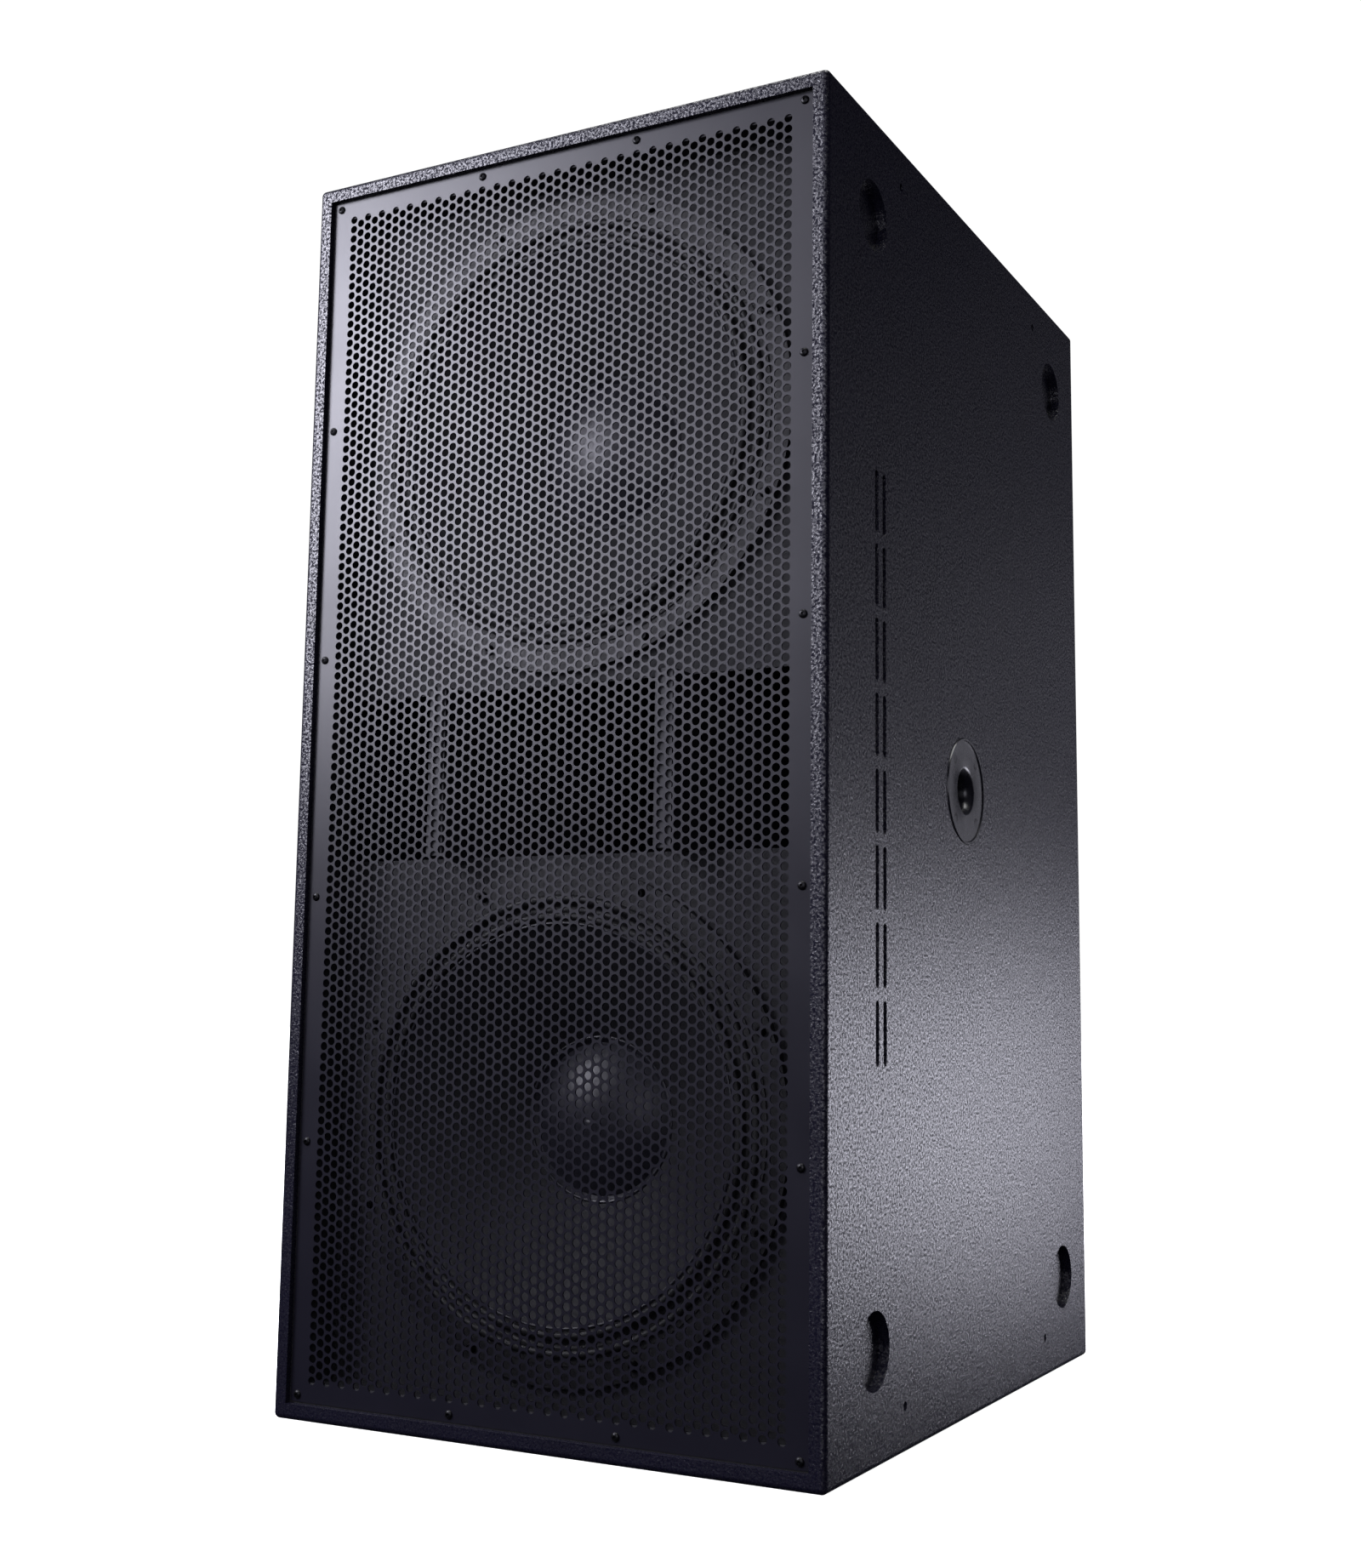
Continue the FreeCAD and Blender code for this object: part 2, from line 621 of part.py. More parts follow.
def makeGrille():
    body = newBody("grille_blank")
    sketch = sketchOn(body, "XZ_Plane", f"-{grilleBack}")
    rectangle(sketch, (f"-{innerSide} + grilleGap", "wallThick + grilleGap"),
              (f"{innerSide} - grilleGap", f"{innerTop} - grilleGap"))
    sheetPad = pad(body, sketch, "grilleThick")
    edge = f"({innerSide} - grilleGap)"
    doc.recompute()
    names = [f"Edge{index}" for index, item in enumerate(sheetPad.Shape.Edges, start=1)
             if near(item.BoundBox.YLength, "grilleThick") and near(abs(item.BoundBox.Center.x), edge)]
    corners = body.newObject("PartDesign::Fillet", "corners")
    corners.Base = (sheetPad, names)
    corners.setExpression("Radius", formula("grilleCorner"))
    face = f"({grilleBack} - grilleThick)"
    holes = [rod("y", (x, f"{face} - 1", z), "grilleThick + 2", "grilleScrewRadius + screwPlay")
             for x, z in grillePlaces()]
    finish(cut(body, holes), "grille")
    screws = [screw("y", (x, face, z), 1, "grilleScrewRadius", "grilleScrewLength", "grilleScrewHead", "2.2")
              for x, z in grillePlaces()]
    finish(together(screws), "grille_screws")


# --- fittings on the side panels ------------------------------------------------------------

def makePoleSocket():
    body = revolved("socket_turned", [
        ("0", "poleMouth"),
        ("0", "poleFlange"),
        ("-poleFlangeThick", "poleFlange"),
        ("-poleFlangeThick", "poleBore + poleWall"),
        ("-poleDepth - poleFloor", "poleBore + poleWall"),
        ("-poleDepth - poleFloor", "0"),
        ("-poleDepth", "0"),
        ("-poleDepth", "poleBore"),
        ("-(poleMouth - poleBore) * 1.6", "poleBore"),
    ], "H_Axis")
    moveTo(body, side, poleY, middle)
    places = [(f"{poleY} + {y}", f"{middle} + {z}") for y, z in ringPlaces("poleScrewCircle", 4, 45)]
    rise = "(poleScrewHead - poleScrewRadius)"
    wells, holes, screws = [], [], []
    for y, z in places:
        wells.append(cone("x", (f"{side} - {rise}", y, z), rise, "poleScrewRadius + screwPlay",
                          "poleScrewHead + screwPlay"))
        holes.append(rod("x", (f"{side} - poleFlangeThick - 1", y, z), "poleFlangeThick",
                         "poleScrewRadius + screwPlay"))
        head = cone("x", (f"{side} - {rise}", y, z), rise, "poleScrewRadius", "poleScrewHead")
        stem = rod("x", (f"{side} - poleScrewLength", y, z), f"poleScrewLength - {rise} / 2",
                   "poleScrewRadius")
        recess = hexagon("x", (f"{side} - 0.7 * {rise}", y, z), rise, "0.75 * poleScrewRadius")
        screws.append(cut(fuse([head, stem]), [recess]))
    finish(cut(cut(body, wells), holes), "pole_socket")
    finish(together(screws), "pole_socket_screws")


def makeInserts():
    inserts = []
    for y, z in insertPlaces:
        barrel = rod("x", (f"{side} - wallThick", y, z), "wallThick - 1", "insertRadius")
        flange = rod("x", (f"{side} - insertFlangeThick", y, z), "insertFlangeThick", "insertFlange")
        bore = rod("x", (f"{side} - wallThick - 1", y, z), "wallThick + 2", "insertBore")
        inserts.append(cut(fuse([barrel, flange]), [bore]))
    finish(together(inserts), "rigging_inserts")


def makeFeet():
    feet, screws = [], []
    for y, z in pocketPlaces:
        block = cone("x", (f"-{side} - footHeight", y, z), "footHeight", "footTip", "footRadius")
        well = rod("x", (f"-{side} - footHeight - 1", y, z), "footHeight - footFloor + 1", "footWell")
        through = rod("x", (f"-{side} - footFloor - 1", y, z), "footFloor + 2",
                      "footScrewRadius + screwPlay")
        feet.append(cut(block, [fuse([well, through])]))
        screws.append(screw("x", (f"-{side} - footFloor", y, z), 1, "footScrewRadius",
                            "footFloor + wallThick", "2 * footScrewRadius", "3.3"))
    finish(together(feet), "feet")
    finish(together(screws), "feet_screws")


# --- carrying handles -----------------------------------------------------------------------

def makeHandles(name, top):
    """Two pressed steel dishes let into an end panel, each with a tubular grip across it."""
    outer = "cabinetHeight - handleSink" if top else "handleSink"
    wide = "(handleLong - 2 * handleRim)"
    deepY = "(handleShort - 2 * handleRim)"

    def slab(wideX, wideY, y, low, high):
        """A block between two depths under the plate's face."""
        start = f"{outer} - ({high})" if top else f"{outer} + ({low})"
        return box((f"-({wideX}) / 2", f"{y} - ({wideY}) / 2", start), (wideX, wideY, f"{high} - ({low})"))

    dishes, grips = [], []
    for y in handleRows():
        plate = slab("handleLong", "handleShort", y, "0", "handleSheet")
        outside = slab(wide, deepY, y, "0", "handleDepth + handleSheet")
        inside = slab(f"{wide} - 2 * handleSheet", f"{deepY} - 2 * handleSheet", y, "-1", "handleDepth")
        start = f"{outer} - handleSheet - 1" if top else f"{outer} - 1"
        holes = [rod("z", (x, screwY, start), "handleSheet + 2", "handleScrewRadius + screwPlay")
                 for x, screwY in handleScrewPlaces(y)]
        dishes.append(cut(cut(fuse([plate, outside]), [inside]), holes))
        gripZ = f"{outer} - handleBarDrop" if top else f"{outer} + handleBarDrop"
        span = f"({wide} / 2 - handleSheet)"
        grip = rod("x", (f"handleCoreShow - {span}", y, gripZ), f"2 * ({span} - handleCoreShow)",
                   "handleBarRadius")
        core = rod("x", (f"-{span}", y, gripZ), f"2 * {span}", "handleCoreRadius")
        grips.append(fuse([grip, core]))
    finish(together(dishes), f"handle_dishes_{name}")
    finish(together(grips), f"handle_grips_{name}")


def makeHandleScrews():
    places = [place for row in handleRows() for place in handleScrewPlaces(row)]
    screws = [
        screw("z", (x, y, face), direction, "handleScrewRadius", "wallThick - 1", "handleScrewHead",
              "handleScrewRise")
        for x, y in places for face, direction in (("cabinetHeight - handleSink", -1), ("handleSink", 1))
    ]
    finish(together(screws), "handle_screws")


# --- connector dish on the back -------------------------------------------------------------

def socketPlaces():
    return [(f"({k} * socketSpacing / 2)", middle) for k in (-1, 1)]


def makeConnectors():
    floor = f"({back} + dishSheet - dishDepth)"
    wide = "(dishWidth - 2 * dishRim)"
    tall = "(dishHeight - 2 * dishRim)"
    plate = box(("-dishWidth / 2", back, f"{middle} - dishHeight / 2"),
                ("dishWidth", "dishSheet", "dishHeight"))
    outside = box((f"-{wide} / 2", f"{floor} - dishSheet", f"{middle} - {tall} / 2"),
                  (wide, "dishDepth + dishSheet", tall))
    inside = box((f"-{wide} / 2 + dishSheet", floor, f"{middle} - {tall} / 2 + dishSheet"),
                 (f"{wide} - 2 * dishSheet", "dishDepth + 1", f"{tall} - 2 * dishSheet"))
    holes = [rod("y", (x, f"{back} - 1", z), "dishSheet + 2", "dishScrewRadius + screwPlay")
             for x, z in dishScrewPlaces()]
    holes += [rod("y", (x, f"{floor} - dishSheet - 1", z), "dishSheet + 2", "socketRadius + screwPlay")
              for x, z in socketPlaces()]
    finish(cut(cut(fuse([plate, outside]), [inside]), holes), "connector_dish")
    sockets = []
    for x, z in socketPlaces():
        flange = box((f"{x} - socketPlate", floor, f"{z} - socketPlate"),
                     ("2 * socketPlate", "2.5", "2 * socketPlate"))
        collar = rod("y", (x, floor, z), "5", "socketRadius + 1.5")
        barrel = rod("y", (x, f"{floor} - socketLength", z), "socketLength + 1", "socketRadius")
        annulus = rod("y", (x, f"{floor} - socketLength + 4", z), "socketLength + 4",
                      "socketRadius - socketWall")
        post = rod("y", (x, f"{floor} - socketLength + 3", z), "socketLength - 4", "socketPost")
        sockets.append(fuse([cut(fuse([flange, collar, barrel]), [annulus]), post]))
    finish(together(sockets), "connector_sockets")
    face = f"({back} + dishSheet)"
    screws = [screw("y", (x, face, z), -1, "dishScrewRadius", "dishSheet + 12", "dishScrewHead", "2")
              for x, z in dishScrewPlaces()]
    finish(together(screws), "connector_screws")


# --- drivers --------------------------------------------------------------------------------

def coneFace(radius):
    """Depth of the cone's front face behind the baffle's face at a radius."""
    return f"(coneSlope * (coneRadius - ({radius})) - {coneLift})"


def atDriver(item, height):
    return moveTo(item, "0", baffleFace, height)


def makeFrame(name, height):
    """Cast basket: flange, eight arms, a ledge for the spider and a back plate for the motor."""
    ledgeOut = "(spiderRadius + spiderRoom)"
    foot = f"({basketFoot} + basketWall)"
    ledgeIn = "(spiderRadius - spiderLip)"
    throat = "(coilRadius + windingThick + 5)"
    body = revolved(f"{name}_basket", [
        (basketInner, "-flangeThick"),
        ("frameRadius", "-flangeThick"),
        ("frameRadius", "0"),
        ("basketRadius", "0"),
        (foot, basketDepth),
        (foot, motorFace),
        (throat, motorFace),
        (throat, basketDepth),
        (ledgeIn, basketDepth),
        (ledgeIn, spiderDepth),
        (ledgeOut, spiderDepth),
    ])
    atDriver(body, height)
    low, high = "(spiderRadius + 10)", f"({basketInner} - 12)"
    windows = []
    for k in range(armCount):
        sector = newBody(f"{name}_window")
        sketch = sketchOn(sector, "XZ_Plane", f"-{basketDepth}")
        first, half, last = (
            f"({360 / armCount * k} + armAngle / 2)",
            f"({360 / armCount * (k + 0.5)})",
            f"({360 / armCount * (k + 1)} - armAngle / 2)",
        )
        outline(sketch, [
            polar(low, first),
            polar(high, first) + polar(high, half),
            polar(high, last),
            polar(low, last) + polar(low, half),
        ])
        pad(sector, sketch, f"2 * {basketDepth}")
        windows.append(atDriver(sector, height))
    places = [(x, f"{height} + {z}") for x, z in ringPlaces("boltCircle", armCount, 180 / armCount)]
    face = f"({baffleFace} - flangeThick)"
    holes = [rod("y", (x, f"{face} - 1", z), "flangeThick + 2", "boltRadius + screwPlay") for x, z in places]
    finish(cut(cut(body, windows), holes), f"{name}_driver_frame")
    bolts = [screw("y", (x, face, z), 1, "boltRadius", "flangeThick + boardThick + 4", "boltHead", "4.5")
             for x, z in places]
    finish(together(bolts), f"{name}_driver_screws")


def makeSurround(name, height):
    """Three rolls of cloth between the edge of the cone and the flange."""
    start = "(coneRadius + 3)"

    def rolls(level):
        """The rolled line from the cone outwards, each roll an arc through its crest."""
        path = [("coneRadius", level)]
        for k, crest in enumerate((-1, 1, -1)):
            path.append((f"{start} + {2 * k} * rollRadius", level,
                         f"{start} + {2 * k + 1} * rollRadius", f"{level} + {crest} * rollRadius"))
        return path + [(f"{start} + 6 * rollRadius", level), ("lipRadius", level)]

    face = rolls(f"(-{coneLift})")
    rear = rolls(f"(surroundThick - {coneLift})")
    ends = [point[:2] for point in rear]
    crests = [point[2:] for point in rear]
    returning = [ends[k] + crests[k - 1] for k in range(len(rear) - 1, 0, -1)] + [ends[0]]
    body = revolved(f"{name}_rolls", face + returning)
    finish(atDriver(body, height), f"{name}_surround")


def makeCone(name, height):
    edge = coneFace("coneRadius")
    body = revolved(f"{name}_paper", [
        ("coilRadius", coneNeck),
        ("coneRadius", edge),
        ("coneRadius", f"{edge} + paperThick"),
        ("coilRadius", f"{coneNeck} + paperThick"),
    ])
    finish(atDriver(body, height), f"{name}_cone")


def makeDustCap(name, height):
    """A spherical dome on a lip that lies on the cone."""
    span = "(capRadius - capLip)"
    seat = coneFace("capRadius")
    ball = f"(({span} * {span} + capRise * capRise) / (2 * capRise))"
    crown = f"({coneFace(span)} - capThick - capRise)"

    def dome(radius, shift):
        return f"({crown} + {shift} + {ball} - sqrt({ball} * {ball} - {radius} * {radius}))"

    half = f"({span} / 2)"
    body = revolved(f"{name}_dome", [
        ("0", crown, half, dome(half, "0")),
        (span, dome(span, "0")),
        ("capRadius", f"{seat} - capThick"),
        ("capRadius", seat),
        (span, coneFace(span), half, dome(half, "capThick")),
        ("0", f"{crown} + capThick"),
    ])
    finish(atDriver(body, height), f"{name}_dust_cap")


def makeCoil(name, height):
    """Coil former glued into the neck of the cone, with the winding at its back end."""
    windingStart = f"({motorFace} + plateThick / 2 - windingLength / 2)"
    windingEnd = f"({motorFace} + plateThick / 2 + windingLength / 2)"
    body = revolved(f"{name}_former", [
        ("coilRadius - formerThick", coneNeck),
        ("coilRadius", coneNeck),
        ("coilRadius", windingStart),
        ("coilRadius + windingThick", windingStart),
        ("coilRadius + windingThick", windingEnd),
        ("coilRadius - formerThick", windingEnd),
    ])
    finish(atDriver(body, height), f"{name}_voice_coil")


def makeSpider(name, height):
    """Corrugated cloth from the former to the ledge of the basket."""
    waves = 5
    inner, outer = "(coilRadius + 4)", "(spiderRadius - spiderLip)"
    path = [("coilRadius", spiderDepth), (inner, spiderDepth)]
    for k in range(1, 2 * waves):
        crest = "spiderWave" if k % 2 == 0 else "-spiderWave"
        path.append((f"{inner} + ({outer} - {inner}) * {k / (2 * waves)}", f"{spiderDepth} + ({crest})"))
    path += [(outer, spiderDepth), ("spiderRadius", spiderDepth)]
    upper = [(radius, f"{depth} - spiderThick") for radius, depth in path]
    body = revolved(f"{name}_cloth", path + upper[::-1])
    finish(atDriver(body, height), f"{name}_spider")


def makeMotor(name, height):
    """Front plate, ferrite rings and a yoke whose pole stands inside the coil."""
    gapRadius = "(coilRadius + windingThick + magnetGap)"
    poleRadius = "(coilRadius - formerThick - magnetGap)"
    plateRadius = "(magnetRadius - 6)"
    plateEnd = f"({motorFace} + plateThick)"
    magnetEnd = f"({plateEnd} + magnetThick)"
    plate = revolved(f"{name}_washer", [
        (gapRadius, motorFace),
        (plateRadius, motorFace),
        (plateRadius, plateEnd),
        (gapRadius, plateEnd),
    ])
    finish(atDriver(plate, height), f"{name}_front_plate")
    ferriteRadius = "(coilRadius + windingThick + 8)"
    magnet = revolved(f"{name}_ferrite", [
        (ferriteRadius, plateEnd),
        ("magnetRadius", plateEnd),
        ("magnetRadius", magnetEnd),
        (ferriteRadius, magnetEnd),
    ])
    finish(atDriver(magnet, height), f"{name}_magnet")
    yoke = revolved(f"{name}_pole", [
        ("yokeVent", motorFace),
        (poleRadius, motorFace),
        (poleRadius, magnetEnd),
        (plateRadius, magnetEnd),
        (plateRadius, f"{magnetEnd} + plateThick"),
        ("yokeVent", f"{magnetEnd} + plateThick"),
    ])
    finish(atDriver(yoke, height), f"{name}_yoke")


# --- casters on the back --------------------------------------------------------------------

def makeCasterPlates():
    plates, bolts = [], []
    for x, z in casterPlaces():
        plate = box((f"{x} - casterPlateLong / 2", casterFace, f"{z} - casterPlateWide / 2"),
                    ("casterPlateLong", "casterPlateThick", "casterPlateWide"))
        head = rod("y", (x, casterFace, z), "casterPlateThick + headThick", "headRadius")
        bore = rod("y", (x, f"{casterFace} - 1", z), "casterPlateThick + headThick + 2",
                   "kingpinRadius + axlePlay")
        holes = [rod("y", (f"{x} + {kx} * casterBoltLong / 2", f"{casterFace} - 1",
                           f"{z} + {kz} * casterBoltWide / 2"), "casterPlateThick + 2",
                     "casterBoltRadius + screwPlay")
                 for kx in (-1, 1) for kz in (-1, 1)]
        plates.append(cut(fuse([plate, head]), [bore] + holes))
    finish(together(plates), "caster_plates")
    face = f"({casterFace} + casterPlateThick)"
    for x, z in casterBoltPlaces():
        bolts.append(screw("y", (x, face, z), -1, "casterBoltRadius", "casterPlateThick + wallThick + 8",
                           "casterBoltHead", "4.4"))
    finish(together(bolts), "caster_bolts")


def makeCaster(index, x, z, braked):
    """Swivel fork with its axle, and the wheel; the fork trails towards the floor."""
    reach = "(wheelWidth / 2 + forkGap)"
    half = f"({reach} + forkSheet)"
    axleZ = f"({z} - casterTrail)"
    legs = newBody(f"fork_{index}")
    sketch = sketchOn(legs, "YZ_Plane", x)
    outline(sketch, [
        (crownFace, f"{z} + headRadius - 2"),
        (crownFace, f"{z} - headRadius + 2"),
        (pedalPinY, f"{axleZ} - wheelRadius * 0.9"),
        (f"{pedalPinY} + 8", f"{axleZ} - wheelRadius * 0.9"),
        (f"{axleY} + 8", f"{axleZ} - 10", f"{axleY} + 13", axleZ),
        (f"{axleY} + 8", f"{axleZ} + 10"),
        (f"{crownFace} + forkSheet + 4", f"{z} + headRadius - 2"),
    ])
    pad(legs, sketch, f"2 * {half}", symmetric=True)
    tall = "4 * wheelRadius"
    gap = box((f"{x} - {reach}", f"{crownFace} + forkSheet", f"{z} - {tall} / 2"),
              (f"2 * {reach}", tall, tall))
    kingpin = rod("y", (x, f"{casterFace} + 1", z), f"{crownFace} - {casterFace} + forkSheet - 1",
                  "kingpinRadius")
    bores = [rod("x", (f"{x} - {half} - 1", axleY, axleZ), f"2 * {half} + 2", "axleRadius")]
    if braked:
        bores.append(rod("x", (f"{x} - {half} - 1", pedalPinY, pedalPinZ(z)), f"2 * {half} + 2",
                         "pedalPin + axlePlay"))
    fork = cut(fuse([cut(legs, [gap]), kingpin]), bores)
    axle = rod("x", (f"{x} - {half} - axleNutThick", axleY, axleZ), f"2 * ({half} + axleNutThick)",
               "axleRadius")
    nuts = [rod("x", (start, axleY, axleZ), "axleNutThick", "axleNutRadius")
            for start in (f"{x} - {half} - axleNutThick", f"{x} + {half}")]
    finish(together([fork, fuse([axle] + nuts)]), f"caster_fork_{index}")
    edge = "(wheelWidth / 2)"
    bore = "axleRadius + axlePlay"
    wheel = revolved(f"wheel_{index}", [
        (f"-{edge}", bore),
        (f"-{edge}", "axleRadius + 7"),
        (f"-{edge} + webInset", "axleRadius + 11"),
        (f"-{edge} + webInset", "wheelRadius - 14"),
        (f"-{edge}", "wheelRadius - 10"),
        (f"-{edge}", "wheelRadius - 4"),
        (f"-{edge} + 5", "wheelRadius - 0.6", "0", "wheelRadius"),
        (f"{edge} - 5", "wheelRadius - 0.6"),
        (edge, "wheelRadius - 4"),
        (edge, "wheelRadius - 10"),
        (f"{edge} - webInset", "wheelRadius - 14"),
        (f"{edge} - webInset", "axleRadius + 11"),
        (edge, "axleRadius + 7"),
        (edge, bore),
    ], "H_Axis")
    finish(moveTo(wheel, x, axleY, axleZ), f"caster_wheel_{index}")
    if braked:
        makePedal(index, x, z)


def pedalPinZ(z):
    return f"({z} - casterTrail - wheelRadius * 0.76)"


def makePedal(index, x, z):
    """Brake lever on its own pin between the tails of the fork's legs."""
    reach = "(wheelWidth / 2 + forkGap)"
    place = pedalPinZ(z)
    hub = rod("x", (f"{x} - {reach} + 0.5", pedalPinY, place), f"2 * {reach} - 1", "pedalHub")
    bolt = rod("x", (f"{x} - {reach} - forkSheet", pedalPinY, place), f"2 * ({reach} + forkSheet)",
               "pedalPin")
    tongue = box((f"{x} - 11", f"{pedalPinY} - pedalHub", f"{place} - pedalLength"),
                 ("22", "pedalThick", "pedalLength"))
    finish(fuse([hub, bolt, tongue]), f"caster_brake_{index}")


# --- the whole cabinet ----------------------------------------------------------------------

makeRightPanel()
makeLeftPanel()
endPanel("panel_top", True)
endPanel("panel_bottom", False)
makeBackPanel()
ventTop = f"({middle} + ventHeight / 2)"
ventBottom = f"({middle} - ventHeight / 2)"
makeBaffle("baffle_upper", driverHeights["upper"], ventTop, f"{innerTop} - {ventTop}")
makeBaffle("baffle_lower", driverHeights["lower"], "wallThick", f"{ventBottom} - wallThick")
makeShelf("port_shelf_upper", ventTop)
makeShelf("port_shelf_lower", f"{ventBottom} - boardThick")
makeDivider("port_divider_left", -1)
makeDivider("port_divider_right", 1)
makeBrace()
makeBattens()
makeGrille()
makePoleSocket()
makeInserts()
makeFeet()
makeHandles("top", True)
makeHandles("bottom", False)
makeHandleScrews()
makeConnectors()
for driverName, driverHeight in driverHeights.items():
    makeFrame(driverName, driverHeight)
    makeSurround(driverName, driverHeight)
    makeCone(driverName, driverHeight)
    makeDustCap(driverName, driverHeight)
    makeCoil(driverName, driverHeight)
    makeSpider(driverName, driverHeight)
    makeMotor(driverName, driverHeight)
makeCasterPlates()
for index, (casterX, casterZ) in enumerate(casterPlaces(), start=1):
    makeCaster(index, casterX, casterZ, index <= 2)

doc.recompute()
failed = [item.Label for item in doc.Objects if "Invalid" in item.State or "Error" in item.State]
failed += [item.Label for item in pieces if item.Shape.isNull() or not item.Shape.isValid()]
if failed:
    raise RuntimeError(f"these objects did not build: {failed}")
os.makedirs("parts", exist_ok=True)
for item in pieces:
    item.Shape.exportStep(f"parts/{item.Label}.step")
    print(item.Label, len(item.Shape.Solids), round(item.Shape.Volume))
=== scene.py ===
import math

import bmesh
import bpy
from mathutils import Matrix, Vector
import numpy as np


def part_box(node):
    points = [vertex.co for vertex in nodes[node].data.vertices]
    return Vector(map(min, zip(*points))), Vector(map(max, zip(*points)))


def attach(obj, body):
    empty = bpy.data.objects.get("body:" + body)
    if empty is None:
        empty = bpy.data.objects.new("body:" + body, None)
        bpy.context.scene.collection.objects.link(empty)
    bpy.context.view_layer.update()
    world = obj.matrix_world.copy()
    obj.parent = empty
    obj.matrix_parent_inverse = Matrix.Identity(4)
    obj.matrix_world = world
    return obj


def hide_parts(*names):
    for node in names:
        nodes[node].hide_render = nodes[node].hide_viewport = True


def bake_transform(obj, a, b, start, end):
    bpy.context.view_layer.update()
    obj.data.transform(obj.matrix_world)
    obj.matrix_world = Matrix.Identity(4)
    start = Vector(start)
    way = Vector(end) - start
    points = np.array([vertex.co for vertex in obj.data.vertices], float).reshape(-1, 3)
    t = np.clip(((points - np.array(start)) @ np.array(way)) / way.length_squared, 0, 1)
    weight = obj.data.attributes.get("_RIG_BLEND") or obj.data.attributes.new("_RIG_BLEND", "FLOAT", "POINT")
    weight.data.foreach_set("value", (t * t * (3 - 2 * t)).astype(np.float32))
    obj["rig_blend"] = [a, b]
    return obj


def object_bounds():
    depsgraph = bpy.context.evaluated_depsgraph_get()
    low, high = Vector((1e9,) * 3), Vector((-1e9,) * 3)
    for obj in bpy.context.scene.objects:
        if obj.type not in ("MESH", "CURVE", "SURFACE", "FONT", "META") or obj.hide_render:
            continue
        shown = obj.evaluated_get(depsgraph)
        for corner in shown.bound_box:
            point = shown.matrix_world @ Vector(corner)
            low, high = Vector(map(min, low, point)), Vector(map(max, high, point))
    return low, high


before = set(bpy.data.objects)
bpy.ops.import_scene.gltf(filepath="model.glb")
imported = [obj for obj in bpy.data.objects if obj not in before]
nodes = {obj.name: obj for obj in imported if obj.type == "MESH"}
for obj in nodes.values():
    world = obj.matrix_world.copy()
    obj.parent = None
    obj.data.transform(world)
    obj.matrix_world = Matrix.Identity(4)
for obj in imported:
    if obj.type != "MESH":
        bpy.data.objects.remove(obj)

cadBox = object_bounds()     # the CAD model's box, before any piece is added
mm = 0.001


def deselect():
    if bpy.context.mode != "OBJECT":
        bpy.ops.object.mode_set(mode="OBJECT")
    bpy.ops.object.select_all(action="DESELECT")


def takeUp(piece):
    # makes one piece the active and only selected one
    deselect()
    bpy.context.view_layer.objects.active = piece
    piece.select_set(True)
    return piece


# camera: a long lens from low down in front of the grille's right edge

shot = {
    "place": (0.9141, -1.8109, 0.3834),
    "turn": (97.504, -0.7094, 28.092),    # degrees about X, Y, Z
    "lens": 42.86,
    "drop": -0.00998,                     # the frame sits a touch below the lens axis
}

deselect()
bpy.ops.object.camera_add(location=shot["place"], rotation=[math.radians(a) for a in shot["turn"]])
camera = bpy.context.object
camera.name = "camera"
camera.data.sensor_width = 36
camera.data.lens = shot["lens"]
camera.data.shift_y = shot["drop"]
camera.data.clip_end = 200
camera.data.dof.use_dof = False
bpy.context.scene.camera = camera
print("camera placed")


# materials

def hexColor(code):
    # sRGB hex to linear red, green, blue and alpha
    parts = [int(code[i:i + 2], 16) / 255 for i in (1, 3, 5)]
    return [p / 12.92 if p <= 0.04045 else ((p + 0.055) / 1.055) ** 2.4 for p in parts] + [1]


def addNode(tree, kind, settings=None, links=None):
    node = tree.nodes.new(kind)
    for key, value in (settings or {}).items():
        if isinstance(key, int) or key in node.inputs:
            node.inputs[key].default_value = value
        else:
            setattr(node, key, value)
    for key, (source, output) in (links or {}).items():
        tree.links.new(source.outputs[output], node.inputs[key])
    return node


